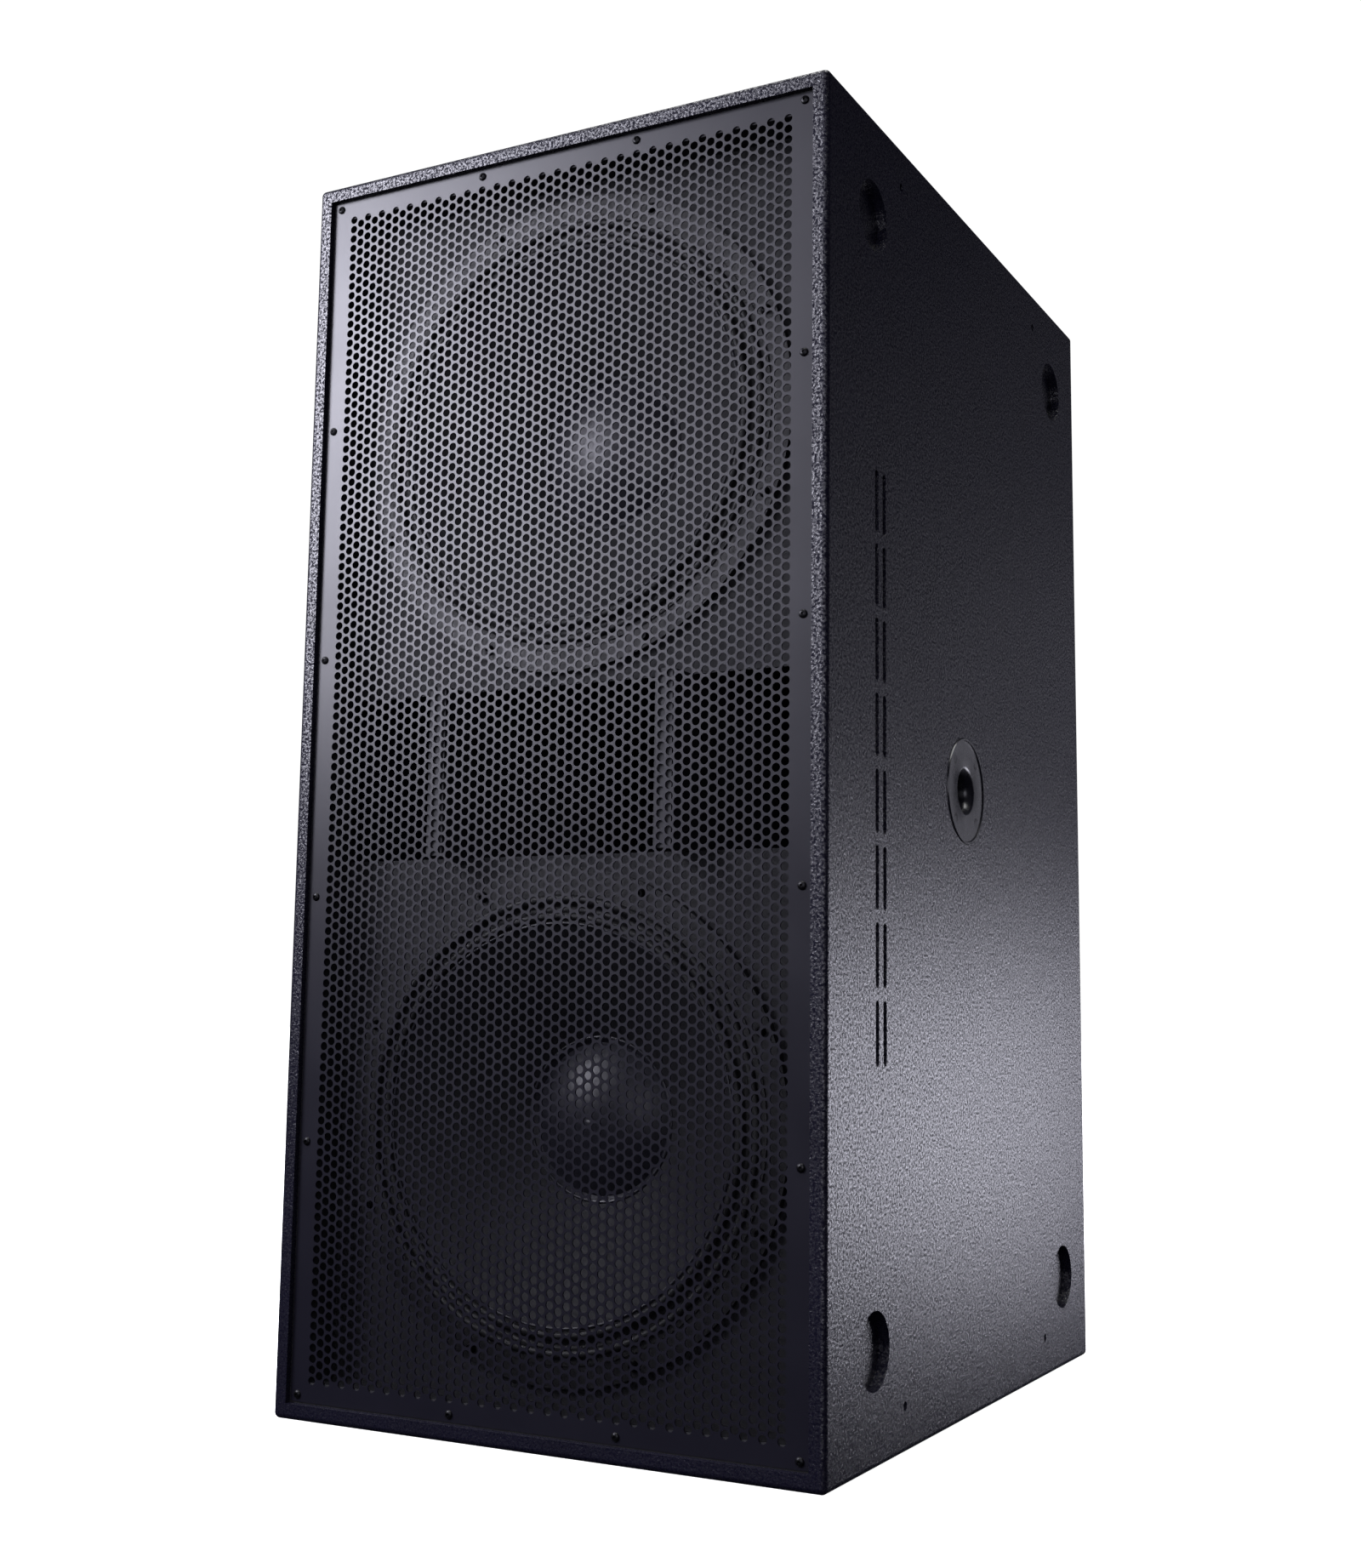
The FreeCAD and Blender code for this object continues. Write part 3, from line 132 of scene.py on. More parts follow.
# One entry for each finish. Sizes are in millimetres:
#   tones    darkest and lightest colour, mixed in patches of "patch"
#   rough    lowest and highest roughness over the same patches
#   fleck    glossy tips and dull hollows: (size, lowest and highest specular level); roughness follows it too
#   grain    fine irregular grain: (size, depth)
#   weave    threads along X and Z: (spacing, depth)
#   rings    turned or wound lines along Y: (spacing, depth)
#   stretch  how much longer the grain is along X, Y and Z
finishes = {
    "sprayedCabinetCoating": {     # water-based paint sprayed in coarse drops: speckled, soft gloss
        "tones": ("#11101b", "#161524"), "patch": 70, "rough": (0.4, 0.25), "fleck": (2.5, 0.05, 1),
        "grain": (2.0, 0.6)},
    "powderCoatedSteel": {         # baked powder: even satin sheen with faint orange peel
        "tones": ("#12111a", "#15141f"), "patch": 90, "rough": (0.34, 0.38), "grain": (1.6, 0.02)},
    "mattBlackPlywood": {          # rolled matt paint, the grain telegraphs through
        "tones": ("#17171a", "#202024"), "patch": 40, "rough": (0.62, 0.75), "grain": (1.2, 0.12),
        "stretch": (14, 1, 1)},
    "paintedDieCasting": {         # aluminium casting under thin black paint
        "tones": ("#131316", "#19191c"), "patch": 30, "rough": (0.42, 0.55), "grain": (0.9, 0.06)},
    "pulpConePaper": {             # felted black pulp: matt, slightly fuzzy
        "tones": ("#111115", "#19191e"), "patch": 7, "rough": (0.6, 0.72), "grain": (0.9, 0.1)},
    "dopedCapPaper": {             # lacquered paper dome
        "tones": ("#1f1f26", "#27272f"), "patch": 12, "rough": (0.36, 0.44), "grain": (0.8, 0.05)},
    "dopedCloth": {                # cotton cloth soaked in black dope: the weave shows, half gloss
        "tones": ("#0e0e10", "#151517"), "patch": 9, "rough": (0.45, 0.6), "weave": (0.9, 0.08)},
    "spiderCloth": {               # resin-dipped cotton, straw brown
        "tones": ("#6d5636", "#836a45"), "patch": 8, "rough": (0.7, 0.8), "weave": (0.9, 0.08)},
    "blackOxideSteel": {           # oiled black oxide on machine screws
        "tones": ("#0d0d0f", "#151518"), "patch": 3, "rough": (0.3, 0.42), "grain": (0.4, 0.02),
        "metal": 0.6},
    "zincPlatedSteel": {           # pale blue zinc with a faint spangle
        "tones": ("#a4a8ae", "#c2c5ca"), "patch": 5, "rough": (0.28, 0.42), "grain": (0.6, 0.015),
        "metal": 1},
    "sinteredFerrite": {           # dark grey ceramic, ground faces
        "tones": ("#2a2a2c", "#38383b"), "patch": 6, "rough": (0.5, 0.65), "grain": (0.5, 0.03)},
    "enamelledCopper": {           # round wire wound tight
        "tones": ("#9a5a2e", "#b9743f"), "patch": 4, "rough": (0.28, 0.36), "rings": (1.0, 0.3),
        "metal": 1},
    "mouldedRubber": {             # matt black rubber with mould texture
        "tones": ("#121213", "#1b1b1c"), "patch": 8, "rough": (0.72, 0.85), "grain": (0.7, 0.06)},
    "wheelRubber": {               # elastic rubber tyre, dusty grey black
        "tones": ("#1c1c1e", "#29292b"), "patch": 9, "rough": (0.6, 0.75), "grain": (0.8, 0.05)},
    "mouldedPlastic": {            # spark-eroded mould skin on nylon
        "tones": ("#141416", "#1b1b1e"), "patch": 10, "rough": (0.42, 0.52), "grain": (0.6, 0.04)},
    "blackPaintedSteel": {         # thick gloss-to-satin paint
        "tones": ("#121218", "#18181f"), "patch": 12, "rough": (0.24, 0.32), "grain": (1.4, 0.03)},
}


def makeFinish(name, look):
    material = bpy.data.materials.new(name)
    material.use_nodes = True
    tree = material.node_tree
    shader = tree.nodes["Principled BSDF"]
    shader.inputs["Metallic"].default_value = look.get("metal", 0)
    place = addNode(tree, "ShaderNodeTexCoord")
    patches = addNode(tree, "ShaderNodeTexNoise", {"Scale": 1 / (look["patch"] * mm), "Detail": 3},
                      {"Vector": (place, "Object")})
    tone = addNode(tree, "ShaderNodeMix", {"data_type": "RGBA", 6: hexColor(look["tones"][0]),
                                           7: hexColor(look["tones"][1])}, {0: (patches, "Fac")})
    tree.links.new(tone.outputs[2], shader.inputs["Base Color"])
    glossSource, spread = patches, 0.2       # spread: how far the noise strays from its mean of 0.5
    if "fleck" in look:
        size, dull, bright = look["fleck"]
        glossSource, spread = addNode(tree, "ShaderNodeTexNoise", {"Scale": 1 / (size * mm), "Detail": 1},
                                      {"Vector": (place, "Object")}), 0.1
        shine = addNode(tree, "ShaderNodeMapRange", {
            "From Min": 0.5 - spread, "From Max": 0.5 + spread,
            "To Min": dull, "To Max": bright}, {"Value": (glossSource, "Fac")})
        tree.links.new(shine.outputs[0], shader.inputs["Specular IOR Level"])
    gloss = addNode(tree, "ShaderNodeMapRange", {
        "From Min": 0.5 - spread, "From Max": 0.5 + spread,
        "To Min": look["rough"][0], "To Max": look["rough"][1]}, {"Value": (glossSource, "Fac")})
    tree.links.new(gloss.outputs[0], shader.inputs["Roughness"])
    stretch = look.get("stretch", (1, 1, 1))
    laid = addNode(tree, "ShaderNodeMapping", {"Scale": [1 / s for s in stretch]}, {"Vector": (place, "Object")})
    bump = None
    waveScale = 0.314                        # a wave texture repeats every 0.314 units at scale 1
    layers = [(key, *look[key]) for key in ("grain", "weave", "rings") if key in look]
    for key, size, depth in layers:
        if key == "grain":
            texture, output = addNode(tree, "ShaderNodeTexNoise", {
                "Scale": 1 / (size * mm), "Detail": 4, "Roughness": 0.6}, {"Vector": (laid, "Vector")}), "Fac"
        else:
            directions = ("X", "Z") if key == "weave" else ("Y",)
            waves = [addNode(tree, "ShaderNodeTexWave", {"bands_direction": way, "Scale": waveScale / (size * mm)},
                             {"Vector": (laid, "Vector")}) for way in directions]
            texture, output = waves[0], "Fac"
            if len(waves) > 1:
                texture = addNode(tree, "ShaderNodeMath", {"operation": "MULTIPLY"},
                                  {0: (waves[0], "Fac"), 1: (waves[1], "Fac")})
                output = "Value"
        height = {"Height": (texture, output)}
        if bump:
            height["Normal"] = (bump, "Normal")
        bump = addNode(tree, "ShaderNodeBump", {"Strength": 1, "Distance": depth * mm}, height)
    tree.links.new(bump.outputs["Normal"], shader.inputs["Normal"])
    return material


materials = {name: makeFinish(name, look) for name, look in finishes.items()}


def dress(piece, finish):
    piece.data.materials.clear()
    piece.data.materials.append(materials[finish])


nodeFinishes = {
    "sprayedCabinetCoating": ["panel_right", "panel_left", "panel_top", "panel_bottom", "panel_back",
                              "rigging_inserts"],
    "mattBlackPlywood": ["baffle_upper", "baffle_lower", "port_shelf_upper", "port_shelf_lower",
                         "port_divider_left", "port_divider_right", "window_brace", "grille_battens"],
    "powderCoatedSteel": ["grille", "handle_dishes_top", "handle_dishes_bottom", "connector_dish"],
    "blackOxideSteel": ["grille_screws", "pole_socket_screws", "feet_screws", "handle_screws",
                        "connector_screws", "upper_driver_screws", "lower_driver_screws"],
    "blackPaintedSteel": ["pole_socket", "caster_brake_1", "caster_brake_2"],
    "zincPlatedSteel": ["caster_plates", "caster_bolts", "caster_fork_1", "caster_fork_2",
                        "caster_fork_3", "caster_fork_4", "upper_front_plate", "upper_yoke",
                        "lower_front_plate", "lower_yoke"],
    "mouldedRubber": ["feet"],
    "mouldedPlastic": ["handle_grips_top", "handle_grips_bottom", "connector_sockets"],
    "paintedDieCasting": ["upper_driver_frame", "lower_driver_frame"],
    "pulpConePaper": ["upper_cone", "lower_cone"],
    "dopedCapPaper": ["upper_dust_cap", "lower_dust_cap"],
    "dopedCloth": ["upper_surround", "lower_surround"],
    "spiderCloth": ["upper_spider", "lower_spider"],
    "sinteredFerrite": ["upper_magnet", "lower_magnet"],
    "enamelledCopper": ["upper_voice_coil", "lower_voice_coil"],
    "wheelRubber": ["caster_wheel_1", "caster_wheel_2", "caster_wheel_3", "caster_wheel_4"],
}
for finish, names in nodeFinishes.items():
    for name in names:
        dress(nodes[name], finish)
print("finishes on the CAD nodes")


# perforated grille: one cell repeated in staggered rows, then the plain border, then the thickness

grille = {
    "pitch": 10.05 * mm,        # hole to hole, 60 degree stagger
    "holeRadius": 4 * mm,
    "holeSides": 12,
    "fullColumns": 29,          # columns of 115 holes, with the shorter ones between them
    "fullRows": 115,
    "bands": 4,                 # the field is in four bands so that no mesh is too heavy
    "corner": 3 * mm,
    "screwRadius": 2.1 * mm,
    "screwInset": (8, 6.5),     # screw lines in from the sheet's edge, millimetres
}
low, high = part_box("grille")
front, back = low.y, high.y
middle = (low + high) / 2
pitch = grille["pitch"]
columnStep = pitch * math.cos(math.radians(30))


def editedMesh(piece):
    return bmesh.from_edit_mesh(piece.data)


def selectEdges(piece, test):
    # edit mode: selects the edges that pass the test, and nothing else
    bpy.ops.mesh.select_all(action="DESELECT")
    mesh = editedMesh(piece)
    for edge in mesh.edges:
        if test(edge):
            edge.select_set(True)
    bmesh.update_edit_mesh(piece.data)


def addRepeat(piece, count, step):
    repeat = piece.modifiers.new("repeat", "ARRAY")
    repeat.use_relative_offset = False
    repeat.use_constant_offset = True
    repeat.constant_offset_displace = step
    repeat.count = count
    repeat.use_merge_vertices = True
    repeat.merge_threshold = 0.02 * mm
    bpy.ops.object.modifier_apply(modifier=repeat.name)


def holeColumns(name, columns, rows):
    # hexagonal cells with a round hole, the block centred on the sheet
    start = (middle.x - (columns - 1) * columnStep, front, middle.z - (rows - 1) / 2 * pitch)
    flat = (math.radians(90), math.radians(30), 0)
    deselect()
    bpy.ops.mesh.primitive_circle_add(vertices=6, radius=pitch / math.sqrt(3), location=start, rotation=flat)
    piece = bpy.context.object
    piece.name = name
    bpy.ops.object.transform_apply(location=True, rotation=True, scale=True)
    bpy.ops.object.mode_set(mode="EDIT")
    bpy.ops.mesh.primitive_circle_add(vertices=grille["holeSides"], radius=grille["holeRadius"],
                                      location=start, rotation=flat)
    bpy.ops.mesh.select_all(action="SELECT")
    bpy.ops.mesh.fill(use_beauty=True)
    bpy.ops.object.mode_set(mode="OBJECT")
    addRepeat(piece, rows, (0, 0, pitch))
    addRepeat(piece, columns, (2 * columnStep, 0, 0))
    return piece


def faceForward(piece):
    # edit mode: turns a flat sheet's faces towards the front
    bpy.ops.mesh.select_all(action="SELECT")
    bpy.ops.mesh.normals_make_consistent(inside=False)
    mesh = editedMesh(piece)
    mesh.faces.ensure_lookup_table()
    if sum(face.normal.y * face.calc_area() for face in mesh.faces) > 0:
        bpy.ops.mesh.flip_normals()


field = holeColumns("grille_field", grille["fullColumns"], grille["fullRows"])
short = holeColumns("grille_field_short", grille["fullColumns"] - 1, grille["fullRows"] - 1)
takeUp(field)
short.select_set(True)
bpy.ops.object.join()
bpy.ops.object.mode_set(mode="EDIT")
bpy.ops.mesh.select_all(action="SELECT")
bpy.ops.mesh.remove_doubles(threshold=0.05 * mm)
faceForward(field)

# the border starts from the field's zigzag edge
selectEdges(field, lambda edge: edge.is_boundary and edge.calc_length() > 0.5 * pitch)
bpy.ops.mesh.duplicate()
bpy.ops.mesh.separate(type="SELECTED")
bpy.ops.object.mode_set(mode="OBJECT")
border = [o for o in bpy.context.selected_objects if o is not field][0]
border.name = "grille_border"
takeUp(border)
bpy.ops.object.mode_set(mode="EDIT")
bpy.ops.mesh.select_all(action="DESELECT")
bpy.ops.mesh.primitive_plane_add(size=1, location=(middle.x, front, middle.z), rotation=(math.radians(90), 0, 0))
bpy.ops.transform.resize(value=(high.x - low.x, 1, high.z - low.z), center_override=(middle.x, front, middle.z))
bpy.ops.mesh.bevel(offset=grille["corner"], segments=4, affect="VERTICES")
bpy.ops.mesh.delete(type="ONLY_FACE")
screwX, screwZ = (inset * mm for inset in grille["screwInset"])
columnsAt = [low.x + screwX + (high.x - low.x - 2 * screwX) / 3 * k for k in range(4)]
rowsAt = [low.z + screwZ + (high.z - low.z - 2 * screwZ) / 5 * k for k in range(6)]
screwSpots = [(x, front, z) for x in columnsAt for z in rowsAt        # round the edge only
              if x in (columnsAt[0], columnsAt[-1]) or z in (rowsAt[0], rowsAt[-1])]
for spot in screwSpots:
    bpy.ops.mesh.primitive_circle_add(vertices=12, radius=grille["screwRadius"], location=spot,
                                      rotation=(math.radians(90), 0, 0))
bpy.ops.mesh.select_all(action="SELECT")
bpy.ops.mesh.fill(use_beauty=True)
faceForward(border)
bpy.ops.object.mode_set(mode="OBJECT")


def separateBelow(piece, level):
    # moves the faces lower than level to a mesh of their own and returns it
    takeUp(piece)
    bpy.ops.object.mode_set(mode="EDIT")
    bpy.ops.mesh.select_all(action="DESELECT")
    bpy.ops.mesh.select_mode(type="FACE")
    mesh = editedMesh(piece)
    for face in mesh.faces:
        if face.calc_center_median().z < level:
            face.select_set(True)
    bmesh.update_edit_mesh(piece.data)
    bpy.ops.mesh.separate(type="SELECTED")
    bpy.ops.object.mode_set(mode="OBJECT")
    return [o for o in bpy.context.selected_objects if o is not piece][0]


bandHeight = (grille["fullRows"] / grille["bands"]) * pitch
bandStart = middle.z - grille["fullRows"] / 2 * pitch
bands = [separateBelow(field, bandStart + bandHeight * (k + 1)) for k in range(grille["bands"] - 1)] + [field]
for number, band in enumerate(bands, start=1):
    band.name = f"grille_field_{number}"
for sheetPart in bands + [border]:
    takeUp(sheetPart)
    thick = sheetPart.modifiers.new("thickness", "SOLIDIFY")
    thick.thickness = back - front
    thick.offset = -1
    bpy.ops.object.modifier_apply(modifier=thick.name)
    sheetPart.data.name = sheetPart.name
    dress(sheetPart, "powderCoatedSteel")
    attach(sheetPart, "cabinet")
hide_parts("grille")
print("grille", [len(part.data.polygons) for part in bands + [border]])


# turned pieces: a point drawn out along an outline, then spun round the axis

def turned(name, outline, axis, steps, closed=True):
    # outline: (radius, distance along the axis) in millimetres, round the origin
    along = {"x": Vector((1, 0, 0)), "y": Vector((0, 1, 0))}[axis]
    places = [(Vector((0, 0, 1)) * radius + along * depth) * mm for radius, depth in outline]
    if closed:
        places.append(places[0])
    deselect()
    bpy.ops.mesh.primitive_plane_add(size=mm, location=places[0])
    piece = bpy.context.object
    piece.name = piece.data.name = name
    bpy.ops.object.transform_apply(location=True, rotation=True, scale=True)
    bpy.ops.object.mode_set(mode="EDIT")
    bpy.ops.mesh.select_mode(type="VERT")
    bpy.ops.mesh.select_all(action="SELECT")
    bpy.ops.mesh.merge(type="CENTER")
    for start, end in zip(places, places[1:]):
        bpy.ops.mesh.extrude_region_move(TRANSFORM_OT_translate={"value": end - start})
    bpy.ops.mesh.select_all(action="SELECT")
    bpy.ops.mesh.spin(steps=steps, angle=math.radians(360), center=(0, 0, 0), axis=along)
    bpy.ops.mesh.select_all(action="SELECT")
    bpy.ops.mesh.remove_doubles(threshold=0.004 * mm)
    bpy.ops.mesh.normals_make_consistent(inside=False)
    bpy.ops.object.mode_set(mode="OBJECT")
    return piece


def arc(centre, radius, start, end, count):
    # points (radius, distance) of an arc, angles in degrees
    angles = [math.radians(start + (end - start) * k / count) for k in range(count + 1)]
    return [(centre[0] + radius * math.cos(angle), centre[1] + radius * math.sin(angle)) for angle in angles]


def settle(piece, place=(0, 0, 0), turn=(0, 0, 0)):
    # moves a mesh to its place and leaves the object itself at the origin
    takeUp(piece)
    piece.rotation_euler = [math.radians(angle) for angle in turn]
    piece.location = place
    bpy.ops.object.transform_apply(location=True, rotation=True, scale=True)
    return piece


def copyOf(piece, name):
    takeUp(piece)
    bpy.ops.object.duplicate(linked=False)
    twin = bpy.context.object
    twin.name = twin.data.name = name
    return twin


def joined(name, pieces):
    takeUp(pieces[0])
    for piece in pieces[1:]:
        piece.select_set(True)
    bpy.ops.object.join()
    pieces[0].name = pieces[0].data.name = name
    return pieces[0]


def scattered(name, piece, places):
    # the same piece at several places, as one mesh
    twins = [settle(copyOf(piece, name), place) for place in places]
    bpy.data.objects.remove(piece)
    return joined(name, twins)


def mounted(piece, finish, body, replaced=None):
    takeUp(piece)
    bpy.ops.object.shade_smooth_by_angle(angle=math.radians(32))
    dress(piece, finish)
    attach(piece, body)
    if replaced:
        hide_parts(replaced)
    return piece


def roundEdges(piece, width, segments, test):
    # bevels the edges that pass the test, in a few segments
    takeUp(piece)
    bpy.ops.object.mode_set(mode="EDIT")
    bpy.ops.mesh.select_mode(type="EDGE")
    selectEdges(piece, test)
    bpy.ops.mesh.bevel(offset=width, segments=segments, affect="EDGES")
    bpy.ops.mesh.select_all(action="SELECT")
    bpy.ops.mesh.normals_make_consistent(inside=False)
    bpy.ops.object.mode_set(mode="OBJECT")
    return piece


# drivers: cloth that bends with the cone, and the glue lines on the paper

driver = {
    "face": -330,                       # baffle face along Y
    "heights": {"upper": 936, "lower": 284},
    "paperEdge": 181,                   # where the cone's paper ends under the surround
    "rollStart": 184, "roll": 4, "rollEnd": 208, "lip": 214,
    "level": -9.2,                      # surround at rest, from the baffle face
    "clothThick": 1.2,
    "spider": (51, 55, 104, 122),       # neck, first wave, last wave, outer edge
    "spiderLevel": 101.1, "spiderWave": 2.1, "spiderWaves": 5, "spiderThick": 1,
    "capBead": (77, 1.6), "coneBead": (181.5, 1.3),   # glue lines: radius of the ring, radius of the bead
    "slope": 0.788,                     # the cone's depth for each millimetre of radius
    "steps": 96,
}


def sheetOf(line, thick):
    # a closed outline from a line of (radius, depth) and a thickness along the axis
    return line + [(radius, depth + thick) for radius, depth in line[::-1]]


def surroundLine():
    # three half rolls: out, in and out again
    line = [(driver["paperEdge"], driver["level"])]
    for k, lastAngle in enumerate((360, 0, 360)):
        centre = (driver["rollStart"] + (2 * k + 1) * driver["roll"], driver["level"])
        line += arc(centre, driver["roll"], 180, lastAngle, 8)
    return line + [(driver["lip"], driver["level"])]


def spiderLine():
    neck, first, last, edge = driver["spider"]
    count = 8 * driver["spiderWaves"]
    level, wave = driver["spiderLevel"], driver["spiderWave"]
    wavy = [(first + (last - first) * k / count,
             level - wave * math.sin(math.radians(360 * driver["spiderWaves"] * k / count)))
            for k in range(count + 1)]
    return [(neck, level)] + wavy + [(edge, level)]


def bendWith(piece, body, centre, inner, outer):
    # full travel inside the inner radius, none outside the outer one
    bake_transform(piece, "cabinet", body, centre, centre + Vector((0, 0.01, 0)))
    weights = piece.data.attributes["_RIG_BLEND"].data
    for point in piece.data.vertices:
        distance = math.hypot(point.co.x - centre.x, point.co.z - centre.z) / mm
        weights[point.index].value = min(1, max(0, (outer - distance) / (outer - inner)))


for name, height in driver["heights"].items():
    centre = Vector((0, driver["face"], height)) * mm
    body = f"{name}_moving_assembly"
    firstWave, lastWave = driver["spider"][1:3]
    cloths = {                          # outline, finish, and the two radii that the bending lies between
        "surround": (sheetOf(surroundLine(), driver["clothThick"]), "dopedCloth",
                     driver["rollStart"], driver["rollEnd"]),
        "spider": (sheetOf(spiderLine(), -driver["spiderThick"]), "spiderCloth", firstWave, lastWave)}
    for kind, (outline, finish, inner, outer) in cloths.items():
        cloth = settle(turned(f"{name}_{kind}_cloth", outline, "y", driver["steps"]), centre)
        bpy.ops.object.shade_smooth_by_angle(angle=math.radians(50))
        dress(cloth, finish)
        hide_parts(f"{name}_{kind}")
        bendWith(cloth, body, centre, inner, outer)
    capRadius, capWidth = driver["capBead"]
    capDepth = driver["slope"] * (driver["paperEdge"] - capRadius) + driver["level"] - 1
    rimRadius, rimWidth = driver["coneBead"]
    bead = turned(f"{name}_cap_glue", arc((capRadius, capDepth), capWidth, 0, 315, 7), "y", 72)
    mounted(settle(bead, centre), "dopedCapPaper", body)
    rim = turned(f"{name}_cone_glue", arc((rimRadius, driver["level"]), rimWidth, 0, 315, 7), "y", driver["steps"])
    mounted(settle(rim, centre), "dopedCapPaper", body)
print("driver cloth")


# pole socket: turned flange with a raised bevelled rim and a flared mouth

pole = {"flange": 53.5, "thick": 3, "rim": 1.3, "mouth": 23.5, "bore": 17.9, "tube": 21.3, "flare": 9,
        "end": 114, "floor": 110, "place": (285, -27, 610)}
socketLine = [(pole["mouth"] + 1.5, 0), (pole["flange"] - 2.8, 0), (pole["flange"] - 1.8, pole["rim"]),
              (pole["flange"] - 0.6, pole["rim"]), (pole["flange"], 0.3), (pole["flange"], -pole["thick"]),
              (pole["tube"], -pole["thick"]), (pole["tube"], -pole["end"]), (0, -pole["end"]),
              (0, -pole["floor"]), (pole["bore"], -pole["floor"]), (pole["bore"], -pole["flare"]),
              (pole["bore"] + 1.8, -pole["flare"] * 0.55), (pole["mouth"] - 1, -1.6), (pole["mouth"], -0.5)]
socketPiece = settle(turned("pole_socket_turned", socketLine, "x", 72), Vector(pole["place"]) * mm)
mounted(socketPiece, "blackPaintedSteel", "cabinet", "pole_socket")


# grille screws: domed button heads with a round key recess, one made and sixteen set

head = {"radius": 4, "rim": 0.4, "rise": 2.2, "key": 1.5, "keyDepth": 1.2, "shank": 2, "length": 20}
dome = [(head["radius"] * math.cos(math.radians(angle)),
         -head["rim"] - (head["rise"] - head["rim"]) * math.sin(math.radians(angle)))
        for angle in (0, 20, 40, 56, 68)]
keyFloor = -head["rise"] + head["keyDepth"]
screwLine = ([(0, head["length"]), (head["shank"], head["length"]), (head["shank"], 0), (head["radius"], 0)] + dome +
             [(head["key"], -head["rise"]), (head["key"], keyFloor), (0, keyFloor + 0.3)])
button = turned("grille_button_screw", screwLine, "y", 18)
buttons = scattered("grille_button_screws", button, screwSpots)
mounted(buttons, "blackOxideSteel", "cabinet", "grille_screws")
print("socket and screws")


# rubber feet: moulded, with a rounded face and a washer well

foot = {"wide": 31, "tip": 27, "tall": 15, "edge": 2.4, "well": 8, "floor": 5, "bore": 3.1, "side": -285,
        "spots": ((-270, 98), (-270, 1122), (282.5, 98), (282.5, 1122))}
footLine = ([(foot["bore"], 0), (foot["wide"], 0), (foot["wide"] - 0.4, -1.5),
             (foot["tip"] + 1, -foot["tall"] + foot["edge"])] +
            arc((foot["tip"] - 2.2, -foot["tall"] + foot["edge"]), foot["edge"], -20, -90, 4) +
            [(foot["well"] + 9, -foot["tall"]), (foot["well"] + 8.4, -foot["tall"] + 1),     # a ring groove
             (foot["well"] + 4.6, -foot["tall"] + 1), (foot["well"] + 4, -foot["tall"]),
             (foot["well"] + 0.8, -foot["tall"]), (foot["well"], -foot["tall"] + 0.8),
             (foot["well"], -foot["floor"]), (foot["bore"], -foot["floor"])])
feetPiece = scattered("feet_moulded", turned("foot_moulded", footLine, "x", 48),
                      [Vector((foot["side"], y, z)) * mm for y, z in foot["spots"]])
mounted(feetPiece, "mouldedRubber", "cabinet", "feet")


# caster wheels: rubber tyre on a ribbed plastic centre

wheel = {"radius": 50, "seat": 38, "bore": 5.05, "hub": 12,
         "rib": (19, 2.4, 29), "ribAt": 24, "ribs": 8,    # radial length, width, depth along the axle; its middle
         "spots": [(x, 447.4, z) for z in (99, 1049) for x in (-150, 150)]}
tyreLine = [(wheel["seat"], -15.4), (wheel["seat"] + 3.5, -15.9), (wheel["seat"] + 6.5, -15.4),
            (wheel["seat"] + 7.2, -14.4), (wheel["seat"] + 8.2, -14.6), (wheel["radius"] - 1.8, -12.6),
            (wheel["radius"] - 0.7, -9), (wheel["radius"] - 0.15, -4), (wheel["radius"], 0)]
tyreLine += [(radius, -side) for radius, side in tyreLine[-2::-1]]
hubLine = [(wheel["bore"], -16), (wheel["hub"] - 1, -16), (wheel["hub"], -15), (wheel["hub"] + 1.5, -11.5),
           (wheel["hub"] + 4, -11), (30, -11), (33, -11.6), (34.6, -15), (35.4, -15.7), (wheel["seat"], -15.4)]
hubLine += [(radius, -side) for radius, side in hubLine[::-1]]
tyre = turned("tyre", tyreLine, "x", 64)
hub = turned("hub", hubLine, "x", 64)
ribs = []
for k in range(wheel["ribs"]):
    deselect()
    bpy.ops.mesh.primitive_cube_add(size=1)
    rib = bpy.context.object
    bpy.ops.transform.resize(value=[size * mm for size in wheel["rib"][::-1]])
    bpy.ops.object.transform_apply(location=True, rotation=True, scale=True)
    roundEdges(rib, 0.5 * mm, 2, lambda edge: True)
    bpy.ops.transform.translate(value=(0, 0, wheel["ribAt"] * mm))
    bpy.ops.object.transform_apply(location=True, rotation=True, scale=True)
    settle(rib, turn=(360 / wheel["ribs"] * k, 0, 0))
    ribs.append(rib)
hub = joined("hub", [hub] + ribs)
for number, (x, y, z) in enumerate(wheel["spots"], start=1):
    body = f"caster_wheel_{number}"      # the CAD node has its body's name
    centre = Vector((x, y, z)) * mm
    mounted(settle(copyOf(tyre, f"tyre_{number}"), centre), "wheelRubber", body, body)
    mounted(settle(copyOf(hub, f"wheel_centre_{number}"), centre), "mouldedPlastic", body)
for spare in (tyre, hub):
    bpy.data.objects.remove(spare)
print("feet and wheels")


# grips: ribbed plastic sleeve on a steel tube

